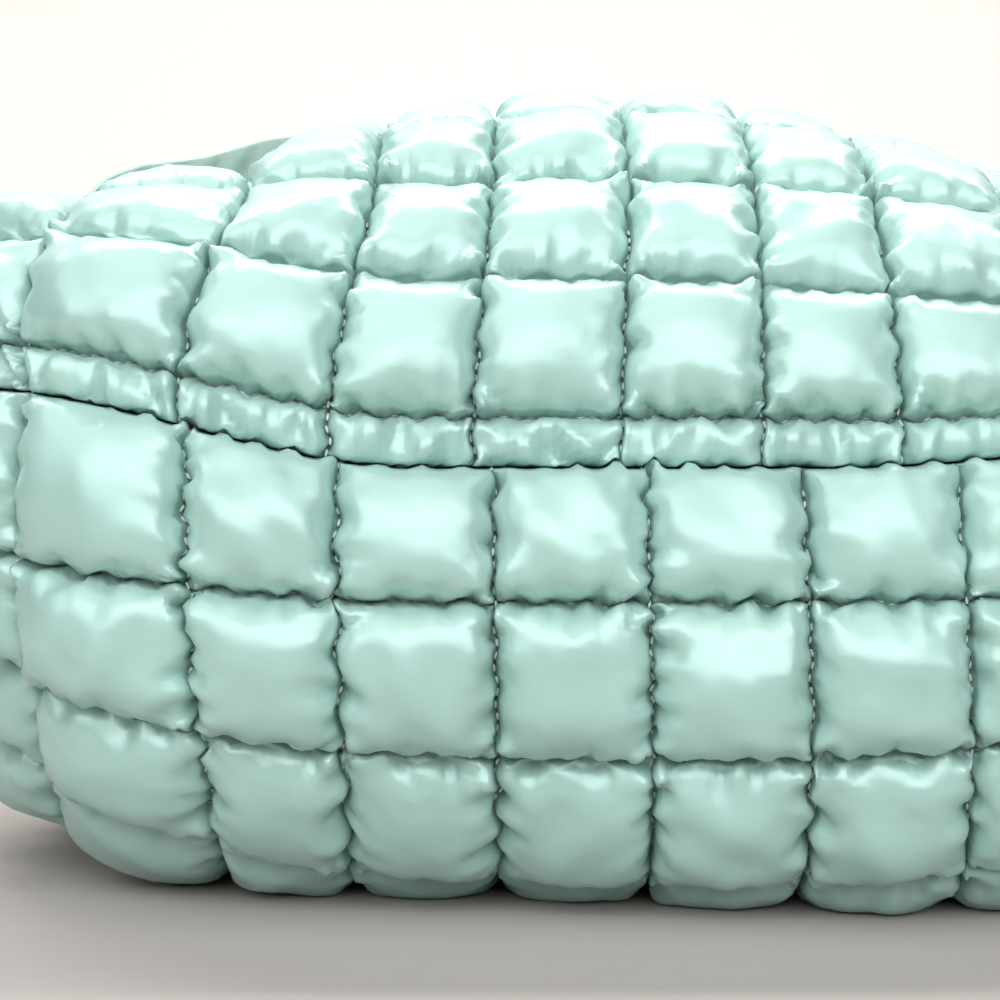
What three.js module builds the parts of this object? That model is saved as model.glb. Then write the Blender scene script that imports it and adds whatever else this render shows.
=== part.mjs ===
// Quilted hobo bag in padded puffer nylon, lying on its back panel.
// Millimetres, +Z up. X runs along the bag, the bottom seam faces -Y and the mouth opens towards +Y.
import * as THREE from "three";

// Driving sizes
const HALF_SEAM = 198;
const SEAM_HEIGHT = 134;
const RIDGE_HEIGHT = 238;
const SIDE_SEAM = { startY: -62, endY: 108, bulge: 34, lipHalf: 28, lipStart: 0.6 };
const SEAM_RISE = { left: 22, right: 8, from: 0.3, to: 0.95 };
const FRONT_SAG = {
  left: { depth: 17, spread: 1.2, step: 30, early: 0, late: 4.5 },
  right: { depth: 70, spread: 1.7, step: 0, early: 0.33, late: 8 },
};
const SAG_STEP = { from: 0.43, to: 0.8 };
const EARLY_SAG = { full: 0.4, fadeFrom: 0.35, fadeTo: 0.7 };
const BACK_LIFT = 24;
const BACK_TWIST = { depth: 14, reach: 60 };
const ROW_LIFT = { share: 0.08, peak: 0.8 };
const TURN_AT = 0.36;
const LIP_NARROWING = 0.9;
const WALL = 2.2;
const PUFF = 13.5;
const FULL_CELL = 40;
const NARROW_FULLNESS = 0.6;
const GAP = 0.4;
const EDGE_BEVEL = 0.4;
const BINDING = { depth: 8, thickness: 4.6, chamfer: 1.2, seat: 0.75 };
const STRAP = { width: 54, thickness: 5, chamfer: 1.3, rootFrom: 0.67, stations: 30 };

// Steps across one quilted cell, closer at the stitch lines, and across a narrow one
const CELL_STEPS = [0, 0.12, 0.35, 0.65, 0.88];
const NARROW_STEPS = [0, 0.5];

// Centre section of each panel, from the bottom seam to the lip
const FRONT_PROFILE = [
  { y: -106, z: 134 },
  { y: -103, z: 152 },
  { y: -93, z: 178 },
  { y: -73, z: 201 },
  { y: -33, z: 230 },
  { y: 14, z: 238 },
  { y: 66, z: 220 },
  { y: 92, z: 178 },
];
const BACK_PROFILE = [
  { y: -106, z: 134 },
  { y: -117, z: 114 },
  { y: -122, z: 82 },
  { y: -112, z: 42 },
  { y: -80, z: 13 },
  { y: -20, z: 9 },
  { y: 36, z: 11 },
  { y: 73, z: 40 },
  { y: 84, z: 95 },
];

// Row heights along the section, the last row takes what is left
const FRONT_ROWS = [14.5, 40.5, 41, 43, 44, 44];
const BACK_ROWS = [41, 44, 44, 44, 46, 46, 46];

// Column stitch lines: x at the bottom seam and x where the panel turns over
const FRONT_COLUMNS = [
  { seam: -198, turn: -198 },
  { seam: -172, turn: -151 },
  { seam: -129, turn: -110 },
  { seam: -86, turn: -74 },
  { seam: -44, turn: -38 },
  { seam: -1, turn: 3 },
  { seam: 40, turn: 41 },
  { seam: 80, turn: 77 },
  { seam: 121, turn: 116 },
  { seam: 162, turn: 156 },
  { seam: 198, turn: 198 },
];
const BACK_COLUMNS = [
  { seam: -198, turn: -198 },
  { seam: -195, turn: -190 },
  { seam: -171, turn: -155 },
  { seam: -126, turn: -117 },
  { seam: -83, turn: -80 },
  { seam: -38, turn: -36 },
  { seam: 6, turn: 9 },
  { seam: 51, turn: 54 },
  { seam: 95, turn: 99 },
  { seam: 137, turn: 139 },
  { seam: 174, turn: 170 },
  { seam: 195, turn: 192 },
  { seam: 198, turn: 198 },
];

// Centre line of the strap between its two sewn ends, with the upper edge's outward lean
const STRAP_ROUTE = [
  { x: -185, y: 122, z: 164, lean: 0 },
  { x: -195, y: 146, z: 198, lean: 0 },
  { x: -184, y: 174, z: 211, lean: 0 },
  { x: -157, y: 192, z: 216.5, lean: 0.02 },
  { x: -122, y: 204, z: 226, lean: 0.04 },
  { x: -60, y: 214, z: 222, lean: 0.08 },
  { x: 20, y: 216, z: 206, lean: 0.1 },
  { x: 100, y: 208, z: 190, lean: 0.08 },
  { x: 164, y: 182, z: 170, lean: 0.04 },
  { x: 190, y: 148, z: 152, lean: 0 },
  { x: 185, y: 122, z: 143, lean: 0 },
];

// Flattened puff under the bag that the part's origin sits on
const FLOOR_PUFF = { x: -13, y: 11 };

const MINT = 0xc4eee4;

const { clamp, lerp, smoothstep } = THREE.MathUtils;

// Value of a table column at a real-numbered row
function tableValue(rows, key, at) {
  const low = clamp(Math.floor(at), 0, rows.length - 2);
  return lerp(rows[low][key], rows[low + 1][key], at - low);
}

// How far the seams climb towards the ends of the bag
function seamRise(x) {
  const height = x < 0 ? SEAM_RISE.left : SEAM_RISE.right;
  return height * smoothstep(Math.abs(x) / HALF_SEAM, SEAM_RISE.from, SEAM_RISE.to);
}

// Spread of one lip from the side seam, as a share of the way along it
function lipSpread(v) {
  const share = clamp((v - SIDE_SEAM.lipStart) / (1 - SIDE_SEAM.lipStart), 0, 1);
  return SIDE_SEAM.lipHalf * share ** 1.5;
}

// One padded wall of the bag: a section curve swept along the bag and closed down at both ends
class QuiltPanel {
  constructor({ profile, rows, columns, side }) {
    this.curve = new THREE.SplineCurve(profile.map(({ y, z }) => new THREE.Vector2(y, z)));
    this.columns = columns;
    this.side = side;
    const length = this.curve.getLength();
    this.rowEnds = [0];
    for (const height of rows) {
      this.rowEnds.push(this.rowEnds.at(-1) + height / length);
    }
    this.rowEnds.push(1);
    this.rowHeights = this.rowEnds.slice(1).map((end, row) => (end - this.rowEnds[row]) * length);
    this.rowSteps = this.rowHeights.map((height) => (height < FULL_CELL / 2 ? NARROW_STEPS : CELL_STEPS));
    this.columnSteps = columns.slice(1).map(() => CELL_STEPS);
  }

  get columnCount() {
    return this.columns.length - 1;
  }

  get rowCount() {
    return this.rowEnds.length - 1;
  }

  // Share of the section at a real-numbered row
  share(row) {
    const low = clamp(Math.floor(row), 0, this.rowCount - 1);
    return lerp(this.rowEnds[low], this.rowEnds[low + 1], row - low);
  }

  // The same, with the back panel's rows drawn towards the bottom seam at the ends of the bag
  bentShare(row, reach) {
    const v = this.share(row);
    const drawn = ROW_LIFT.share * reach ** 2 * Math.sin(Math.PI * v ** ROW_LIFT.peak) ** 4;
    return this.side > 0 ? v : v - drawn;
  }

  // Height of the panel's own edge above or below the side seam
  edgeHeight(x, v) {
    return SEAM_HEIGHT + seamRise(x) + this.side * (GAP / 2 + lipSpread(v));
  }

  // Point on the stitched surface, before padding
  skin(column, row) {
    const seamX = tableValue(this.columns, "seam", column);
    const turnX = tableValue(this.columns, "turn", column);
    const reach = Math.min(Math.abs(seamX) / HALF_SEAM, 1);
    const v = this.bentShare(row, reach);
    const centre = this.curve.getPointAt(v);
    const closing = (1 - reach ** 20) ** 0.4;
    const rise = seamRise(seamX);
    let height = centre.y;
    let depth = centre.x;
    if (this.side > 0) {
      const climb = clamp((centre.y - SEAM_HEIGHT) / (RIDGE_HEIGHT - SEAM_HEIGHT), 0, 1);
      const sag = seamX < 0 ? FRONT_SAG.left : FRONT_SAG.right;
      const fade = 1 - smoothstep(v, EARLY_SAG.fadeFrom, EARLY_SAG.fadeTo);
      const early = sag.early * smoothstep(climb, 0, EARLY_SAG.full) * fade;
      const sagged = early + (1 - sag.early) * climb ** sag.late;
      const sunk = sag.depth * reach ** sag.spread + sag.step * smoothstep(reach, SAG_STEP.from, SAG_STEP.to);
      height += rise * (1 - climb ** 2) - sunk * sagged;
    } else {
      const fall = clamp((SEAM_HEIGHT - centre.y) / SEAM_HEIGHT, 0, 1);
      height += rise * Math.exp(-v / 0.08) + BACK_LIFT * reach ** 5 * fall;
      depth -= BACK_TWIST.depth * Math.tanh(seamX / BACK_TWIST.reach) * fall ** 2;
    }
    const edge = this.edgeHeight(seamX, v);
    const z = edge + (height - edge) * closing;
    const toSide = reach ** 8;
    const y = lerp(depth, lerp(SIDE_SEAM.startY, SIDE_SEAM.endY, v), toSide);
    const overTurn = smoothstep(v, 0, TURN_AT);
    const toLip = clamp((v - TURN_AT) / (1 - TURN_AT), 0, 1);
    const bulge = Math.sign(seamX) * SIDE_SEAM.bulge * 4 * v * (1 - v) * reach ** 6;
    const x = lerp(seamX, turnX, overTurn) * lerp(1, LIP_NARROWING, toLip) + bulge;
    return new THREE.Vector3(x, y, z);
  }

  // Outward direction, kept level along the stitched edges so both walls meet face to face
  normal(column, row) {
    const step = 0.02;
    const outward = new THREE.Vector3();
    if (column === 0 || column === this.columnCount) {
      outward.x = Math.sign(column - 1);
    }
    if (row === 0) {
      outward.y = -1;
    }
    if (outward.lengthSq() > 0) {
      return outward.normalize();
    }
    const along = this.skin(column + step, row).sub(this.skin(column - step, row));
    const lower = this.skin(column, Math.max(row - step, 0));
    const upper = this.skin(column, Math.min(row + step, this.rowCount));
    return along.cross(upper.sub(lower)).multiplyScalar(this.side).normalize();
  }

  // Padding height at a point of the quilting grid
  padding(column, row) {
    const across = column - Math.floor(column);
    const up = row - Math.floor(row);
    const rowHeight = this.rowHeights[Math.min(Math.floor(row), this.rowCount - 1)];
    const fullness = Math.min(1, rowHeight / FULL_CELL) ** NARROW_FULLNESS;
    return PUFF * fullness * Math.sqrt(4 * across * (1 - across)) * Math.sqrt(4 * up * (1 - up));
  }

  // Point on the padded outer face, flattened on the floor and held to its own side of the seams
  outer(column, row) {
    const point = this.skin(column, row);
    point.addScaledVector(this.normal(column, row), this.padding(column, row));
    const inEndColumn = column < 1 || column > this.columnCount - 1;
    const limit = this.edgeHeight(point.x, inEndColumn ? this.share(row) : 0);
    point.z = this.side > 0 ? Math.max(point.z, limit) : Math.min(point.z, limit);
    point.z = Math.max(point.z, 0);
    return point;
  }

  // Point on the flat inner face, drawn back a little from the stitched edges
  inner(column, row) {
    const point = this.skin(column, row).addScaledVector(this.normal(column, row), -WALL);
    const onEdge = row === 0 || column === 0 || column === this.columnCount;
    if (onEdge && lipSpread(this.share(row)) === 0) {
      point.z += this.side * EDGE_BEVEL;
    }
    return point;
  }
}

// Indexed triangles collected face by face
class MeshBuilder {
  constructor() {
    this.positions = [];
    this.indices = [];
  }

  add(point) {
    this.positions.push(point.x, point.y, point.z);
    return this.positions.length / 3 - 1;
  }

  triangle(a, b, c, flip = false) {
    this.indices.push(...(flip ? [a, c, b] : [a, b, c]));
  }

  quad(a, b, c, d, flip = false) {
    this.triangle(a, b, c, flip);
    this.triangle(a, c, d, flip);
  }

  geometry() {
    const geometry = new THREE.BufferGeometry();
    geometry.setAttribute("position", new THREE.Float32BufferAttribute(this.positions, 3));
    geometry.setIndex(this.indices);
    geometry.computeVertexNormals();
    return geometry;
  }
}

// Grid lines across a run of cells, each cell with its own fine steps
function gridLines(cellSteps) {
  const lines = cellSteps.flatMap((steps, cell) => steps.map((step) => cell + step));
  lines.push(cellSteps.length);
  return lines;
}

// Closed padded wall: fine outer face, one inner facet for each cell, and rims along the stitched edges
function panelGeometry(panel) {
  const mesh = new MeshBuilder();
  const flip = panel.side < 0;
  const columns = gridLines(panel.columnSteps);
  const rows = gridLines(panel.rowSteps);
  const outer = columns.map((column) => rows.map((row) => mesh.add(panel.outer(column, row))));
  for (let i = 0; i < columns.length - 1; i += 1) {
    for (let j = 0; j < rows.length - 1; j += 1) {
      mesh.quad(outer[i][j], outer[i + 1][j], outer[i + 1][j + 1], outer[i][j + 1], flip);
    }
  }
  const inner = new Map();
  const innerPoint = (column, row) => {
    const key = `${column},${row}`;
    if (!inner.has(key)) {
      inner.set(key, mesh.add(panel.inner(column, row)));
    }
    return inner.get(key);
  };
  for (let i = 0; i < panel.columnCount; i += 1) {
    for (let j = 0; j < panel.rowCount; j += 1) {
      const loop = innerLoop(panel, i, j).map(([column, row]) => innerPoint(column, row));
      for (let k = 1; k < loop.length - 1; k += 1) {
        mesh.triangle(loop[0], loop[k + 1], loop[k], flip);
      }
    }
  }
  const rim = (line, reverse) => {
    for (let k = 0; k < line.length - 1; k += 1) {
      const [near, far] = [line[k], line[k + 1]];
      mesh.quad(near.outer, near.inner, far.inner, far.outer, reverse ? !flip : flip);
    }
  };
  const along = (j) => columns.map((column, i) => ({ outer: outer[i][j], inner: innerPoint(column, rows[j]) }));
  const up = (i) => rows.map((row, j) => ({ outer: outer[i][j], inner: innerPoint(columns[i], row) }));
  rim(along(0), false);
  rim(along(rows.length - 1), true);
  rim(up(0), true);
  rim(up(columns.length - 1), false);
  return mesh.geometry();
}

// Corners of a cell's inner facet, with the fine steps where the cell lies on an edge of the panel.
// The loop starts at a corner that lies inside the panel, so the facet can be fanned from it.
function innerLoop(panel, i, j) {
  const columnSteps = panel.columnSteps[i].slice(1).map((step) => i + step);
  const rowSteps = panel.rowSteps[j].slice(1).map((step) => j + step);
  const low = j === 0 ? columnSteps.map((column) => [column, j]) : [];
  const high = j === panel.rowCount - 1 ? columnSteps.map((column) => [column, j + 1]).reverse() : [];
  const left = i === 0 ? rowSteps.map((row) => [i, row]).reverse() : [];
  const right = i === panel.columnCount - 1 ? rowSteps.map((row) => [i + 1, row]) : [];
  const loop = [[i, j], ...low, [i + 1, j], ...right, [i + 1, j + 1], ...high, [i, j + 1], ...left];
  const startColumn = i === 0 ? i + 1 : i;
  const startRow = j === 0 ? j + 1 : j;
  const start = loop.findIndex(([column, row]) => column === startColumn && row === startRow);
  return [...loop.slice(start), ...loop.slice(0, start)];
}

// Closed bar through matching rings of points
function loftGeometry(rings) {
  const mesh = new MeshBuilder();
  const loops = rings.map((ring) => ring.map((point) => mesh.add(point)));
  const size = loops[0].length;
  for (let i = 0; i < loops.length - 1; i += 1) {
    for (let k = 0; k < size; k += 1) {
      const next = (k + 1) % size;
      mesh.quad(loops[i][k], loops[i][next], loops[i + 1][next], loops[i + 1][k]);
    }
  }
  for (let k = 1; k < size - 1; k += 1) {
    mesh.triangle(loops[0][0], loops[0][k + 1], loops[0][k]);
    mesh.triangle(loops.at(-1)[0], loops.at(-1)[k], loops.at(-1)[k + 1]);
  }
  return mesh.geometry();
}

// Ring of a flat bar with bevelled edges, wide along one direction and thin along the other
function barRing(centre, wide, thin, width, thickness, chamfer) {
  const cut = Math.min(chamfer, width / 4);
  const corners = [
    [width / 2, 0],
    [width / 2 - cut, thickness / 2],
    [cut - width / 2, thickness / 2],
    [-width / 2, 0],
    [cut - width / 2, -thickness / 2],
    [width / 2 - cut, -thickness / 2],
  ];
  return corners.map(([w, t]) => centre.clone().addScaledVector(wide, w).addScaledVector(thin, t));
}

// Bound edge that closes one lip, seated against the panel's rim
function bindingGeometry(panel) {
  const stations = gridLines(panel.columnSteps);
  const rings = stations.map((column) => {
    const lip = panel.skin(column, panel.rowCount);
    const outward = panel.normal(column, panel.rowCount);
    const away = lip.clone().sub(panel.skin(column, panel.rowCount - 0.05));
    away.addScaledVector(outward, -away.dot(outward)).normalize();
    const centre = lip.addScaledVector(outward, -WALL / 2);
    centre.addScaledVector(away, BINDING.depth / 2 + BINDING.seat);
    return barRing(centre, away, outward, BINDING.depth, BINDING.thickness, BINDING.chamfer);
  });
  return loftGeometry(panel.side > 0 ? rings : rings.reverse());
}

// Sewn end of the strap: a tapered tongue in the notch between the two lips
function strapRoot(front, sign) {
  const column = sign > 0 ? front.columnCount : 0;
  const stations = [];
  for (let v = STRAP.rootFrom; v < 1.001; v += 0.055) {
    const low = front.rowEnds.findLastIndex((end) => end <= Math.min(v, 0.999));
    const row = low + (v - front.rowEnds[low]) / (front.rowEnds[low + 1] - front.rowEnds[low]);
    const edge = front.skin(column, Math.min(row, front.rowCount));
    const centre = new THREE.Vector3(edge.x - sign * WALL / 2, edge.y, SEAM_HEIGHT + seamRise(edge.x));
    const width = Math.min(2 * (edge.z - centre.z - GAP), STRAP.width);
    stations.push({ centre, width, lean: 0 });
  }
  return stations;
}

// Shoulder strap: a flat padded band standing on edge behind the mouth
function strapGeometry(front) {
  const leftRoot = strapRoot(front, -1);
  const rightRoot = strapRoot(front, 1).reverse();
  const guide = [leftRoot.at(-2), leftRoot.at(-1), ...STRAP_ROUTE, rightRoot[0], rightRoot[1]];
  const points = guide.map((row) => row.centre ?? new THREE.Vector3(row.x, row.y, row.z));
  const route = new THREE.CatmullRomCurve3(points, false, "centripetal");
  const first = 1 / (points.length - 1);
  const free = [];
  for (let i = 1; i < STRAP.stations; i += 1) {
    const t = lerp(first, 1 - first, i / STRAP.stations);
    const row = clamp(t * (points.length - 1) - 2, 0, STRAP_ROUTE.length - 1);
    free.push({ centre: route.getPoint(t), width: STRAP.width, lean: tableValue(STRAP_ROUTE, "lean", row) });
  }
  const stations = [...leftRoot, ...free, ...rightRoot];
  const rings = stations.map(({ centre, width, lean }, index) => {
    const before = stations[Math.max(index - 1, 0)].centre;
    const after = stations[Math.min(index + 1, stations.length - 1)].centre;
    const onward = after.clone().sub(before);
    const wide = new THREE.Vector3(0, lean, 1).normalize();
    const thin = wide.clone().cross(onward).normalize();
    return barRing(centre, wide, thin, width, STRAP.thickness, STRAP.chamfer);
  });
  return loftGeometry(rings.reverse());
}

function piece(name, geometry, roughness) {
  const material = new THREE.MeshStandardMaterial({ color: MINT, roughness, metalness: 0 });
  material.name = name;
  const mesh = new THREE.Mesh(geometry, material);
  mesh.name = name;
  return mesh;
}

const frontPanel = new QuiltPanel({
  profile: FRONT_PROFILE,
  rows: FRONT_ROWS,
  columns: FRONT_COLUMNS,
  side: 1,
});
const backPanel = new QuiltPanel({
  profile: BACK_PROFILE,
  rows: BACK_ROWS,
  columns: BACK_COLUMNS,
  side: -1,
});

const bag = new THREE.Group();
bag.name = "quilted_hobo_bag";
bag.position.set(-FLOOR_PUFF.x, -FLOOR_PUFF.y, 0);
bag.add(piece("front_panel", panelGeometry(frontPanel), 0.42));
bag.add(piece("back_panel", panelGeometry(backPanel), 0.42));
bag.add(piece("front_binding", bindingGeometry(frontPanel), 0.5));
bag.add(piece("back_binding", bindingGeometry(backPanel), 0.5));
bag.add(piece("strap", strapGeometry(frontPanel), 0.5));

export default bag;
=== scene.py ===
"""Quilted hobo bag in padded puffer nylon, lying on its back wall with the bottom seam to the front."""
import logging
import math
from collections.abc import Iterable, Sequence
from dataclasses import dataclass, field
from enum import Enum
from functools import cached_property

import bpy
import numpy as np
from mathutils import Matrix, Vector


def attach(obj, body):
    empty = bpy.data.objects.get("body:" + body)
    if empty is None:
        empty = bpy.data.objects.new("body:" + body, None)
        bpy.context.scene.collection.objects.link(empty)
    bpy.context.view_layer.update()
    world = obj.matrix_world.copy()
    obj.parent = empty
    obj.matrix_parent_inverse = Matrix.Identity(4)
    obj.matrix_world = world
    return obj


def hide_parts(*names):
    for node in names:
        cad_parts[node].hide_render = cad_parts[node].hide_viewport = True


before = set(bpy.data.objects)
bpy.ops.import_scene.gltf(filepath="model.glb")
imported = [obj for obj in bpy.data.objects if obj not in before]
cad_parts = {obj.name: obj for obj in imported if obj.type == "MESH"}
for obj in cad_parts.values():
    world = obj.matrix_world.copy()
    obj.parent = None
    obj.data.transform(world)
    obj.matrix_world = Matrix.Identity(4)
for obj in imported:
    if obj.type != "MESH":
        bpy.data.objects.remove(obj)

log = logging.getLogger("quilted_hobo_bag")

MM = 0.001
BODY = "root"

# Step in cells over which the directions of a wall are taken
PROBE = 0.02

Colour = tuple[float, float, float]
Place = tuple[float, float, float]
Span = tuple[float, float]


class Side(Enum):
    """The two quilted walls, with the way each one faces across the bottom seam."""

    FRONT = 1
    BACK = -1


class Slot(Enum):
    """Material slots of the record."""

    QUILT = "quilted_nylon"
    BINDING = "binding_nylon"
    STRAP = "strap_nylon"


def smoothstep(value: np.ndarray, low: float, high: float) -> np.ndarray:
    """Smooth share of the way from low to high."""
    share = np.clip((value - low) / (high - low), 0.0, 1.0)
    return share * share * (3.0 - 2.0 * share)


def unit(vectors: np.ndarray) -> np.ndarray:
    """Vectors along the last axis, made one long."""
    return vectors / np.maximum(np.linalg.norm(vectors, axis=-1, keepdims=True), 1e-12)


def run_lengths(points: np.ndarray) -> np.ndarray:
    """Distance along the first axis of a line of points, starting at zero."""
    steps = np.linalg.norm(np.diff(points, axis=0), axis=-1)
    return np.concatenate([np.zeros_like(steps[:1]), np.cumsum(steps, axis=0)])


def ripple(at: np.ndarray, key: Sequence[int], shortest: float, longest: float) -> np.ndarray:
    """Irregular gathers along a seam: four waves of mixed length.

    Args:
        at: Distance along the seam, in millimetres.
        key: Numbers that seed this seam's own waves.
        shortest: Length of the shortest wave.
        longest: Length of the longest wave.

    Returns:
        Heights of about -1 to 1.
    """
    draw = np.random.default_rng(key)
    total = np.zeros_like(at)
    for _ in range(4):
        length = draw.uniform(shortest, longest)
        phase = draw.uniform()
        total += draw.uniform(0.4, 1.0) * np.sin(2.0 * np.pi * (at / length + phase))
    return total / 1.6


def hermite(ends: Sequence[np.ndarray], tangents: Sequence[np.ndarray], t: np.ndarray) -> np.ndarray:
    """Points at shares t of the cubic between two ends with the given tangents."""
    start, end = ends
    leave, arrive = tangents
    cubic = 2.0 * start - 2.0 * end + leave + arrive
    square = -3.0 * start + 3.0 * end - 2.0 * leave - arrive
    return cubic * t**3 + square * t**2 + leave * t + start


def even_spline(points: Sequence[Sequence[float]], per_span: int = 96) -> tuple[np.ndarray, np.ndarray]:
    """Even Catmull-Rom curve through points.

    Args:
        points: The points that the curve passes through.
        per_span: Samples between two points.

    Returns:
        Distances along the curve, and the sampled points.
    """
    knots = np.asarray(points, dtype=float)
    padded = np.vstack([knots[:1], knots, knots[-1:]])
    t = np.linspace(0.0, 1.0, per_span, endpoint=False)[:, None]
    spans = []
    for before, start, end, after in zip(padded[:-3], padded[1:-2], padded[2:-1], padded[3:]):
        spans.append(hermite((start, end), ((end - before) / 2.0, (after - start) / 2.0), t))
    line = np.vstack([*spans, knots[-1:]])
    return run_lengths(line), line


def centripetal_spline(points: np.ndarray, per_span: int) -> np.ndarray:
    """Centripetal Catmull-Rom curve through points.

    Args:
        points: The points that the curve passes through.
        per_span: Samples between two points.

    Returns:
        The sampled points, the last knot included.
    """
    knots = np.vstack([2.0 * points[0] - points[1], points, 2.0 * points[-1] - points[-2]])
    t = np.linspace(0.0, 1.0, per_span, endpoint=False)[:, None]
    spans = []
    for before, start, end, after in zip(knots[:-3], knots[1:-2], knots[2:-1], knots[3:]):
        d0 = math.sqrt(np.linalg.norm(start - before))
        d1 = math.sqrt(np.linalg.norm(end - start))
        d2 = math.sqrt(np.linalg.norm(after - end))
        leave = ((start - before) / d0 - (end - before) / (d0 + d1) + (end - start) / d1) * d1
        arrive = ((end - start) / d1 - (after - start) / (d1 + d2) + (after - end) / d2) * d1
        spans.append(hermite((start, end), (leave, arrive), t))
    return np.vstack([*spans, points[-1:]])


@dataclass(frozen=True)
class Sag:
    """How one end of the upper wall sinks: how deep, how suddenly along the bag, and where up the wall."""

    depth: float
    spread: float
    step: float
    early: float
    late: float


@dataclass(frozen=True)
class BagForm:
    """Sizes of the lying bag that its pieces share, in millimetres about the bag's own middle."""

    half_seam: float = 198.0
    seam_height: float = 134.0
    ridge_height: float = 238.0
    side_start: float = -62.0
    side_end: float = 108.0
    side_bulge: float = 34.0
    lip_half: float = 28.0
    lip_start: float = 0.6
    rise_left: float = 22.0
    rise_right: float = 8.0
    rise_from: float = 0.3
    rise_to: float = 0.95
    sag_left: Sag = Sag(17.0, 1.2, 30.0, 0.0, 4.5)
    sag_right: Sag = Sag(70.0, 1.7, 0.0, 0.33, 8.0)
    sag_step: Span = (0.43, 0.8)
    early_sag_full: float = 0.4
    early_sag_fade: Span = (0.35, 0.7)
    back_lift: float = 24.0
    back_twist: float = 14.0
    back_twist_reach: float = 60.0
    row_lift: float = 0.08
    row_lift_peak: float = 0.8
    turn_at: float = 0.36
    lip_narrowing: float = 0.9
    wall: float = 2.2
    puff: float = 13.5
    full_cell: float = 40.0
    narrow_fullness: float = 0.6
    gap: float = 0.4
    seam_wave: float = 2.0
    seam_waves: Span = (7.0, 17.0)
    seam_wave_softness: float = 0.04
    seam_fade: float = 0.08
    end_power: float = 20.0
    end_roundness: float = 0.4
    side_power: float = 8.0
    bulge_power: float = 6.0
    back_lift_power: float = 5.0
    origin: Place = (13.0, -11.0, 0.0)

    def seam_rise(self, x: np.ndarray) -> np.ndarray:
        """How far the seams climb towards the ends of the bag."""
        height = np.where(x < 0.0, self.rise_left, self.rise_right)
        return height * smoothstep(np.abs(x) / self.half_seam, self.rise_from, self.rise_to)

    def lip_spread(self, share: np.ndarray) -> np.ndarray:
        """Spread of one lip from the side seam, at a share of the way along it."""
        return self.lip_half * np.clip((share - self.lip_start) / (1.0 - self.lip_start), 0.0, 1.0) ** 1.5

    def front_sag(self, x: np.ndarray, share: np.ndarray, climb: np.ndarray) -> np.ndarray:
        """Depth that the upper wall sinks by towards the ends of the bag.

        Args:
            x: Place along the bottom seam.
            share: Share of the section.
            climb: Share of the way up from the seam to the ridge.

        Returns:
            Depths in millimetres.
        """
        reach = np.minimum(np.abs(x) / self.half_seam, 1.0)
        fade = 1.0 - smoothstep(share, *self.early_sag_fade)
        step = smoothstep(reach, *self.sag_step)
        depths = []
        for sag in (self.sag_left, self.sag_right):
            early = sag.early * smoothstep(climb, 0.0, self.early_sag_full) * fade
            sunk = sag.depth * reach**sag.spread + sag.step * step
            depths.append(sunk * (early + (1.0 - sag.early) * climb**sag.late))
        return np.where(x < 0.0, *depths)

    def seam_ripple(self, x: np.ndarray) -> np.ndarray:
        """Height to which the gathers of the lower wall push up the strip along the seam."""
        waves = ripple(x, (3, 1), *self.seam_waves)
        return self.seam_wave * 0.5 * (waves + np.sqrt(waves**2 + self.seam_wave_softness))

    def metres(self, points: np.ndarray) -> np.ndarray:
        """Points in metres about the part's origin."""
        return (points + np.asarray(self.origin)) * MM


FORM = BagForm()


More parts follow.
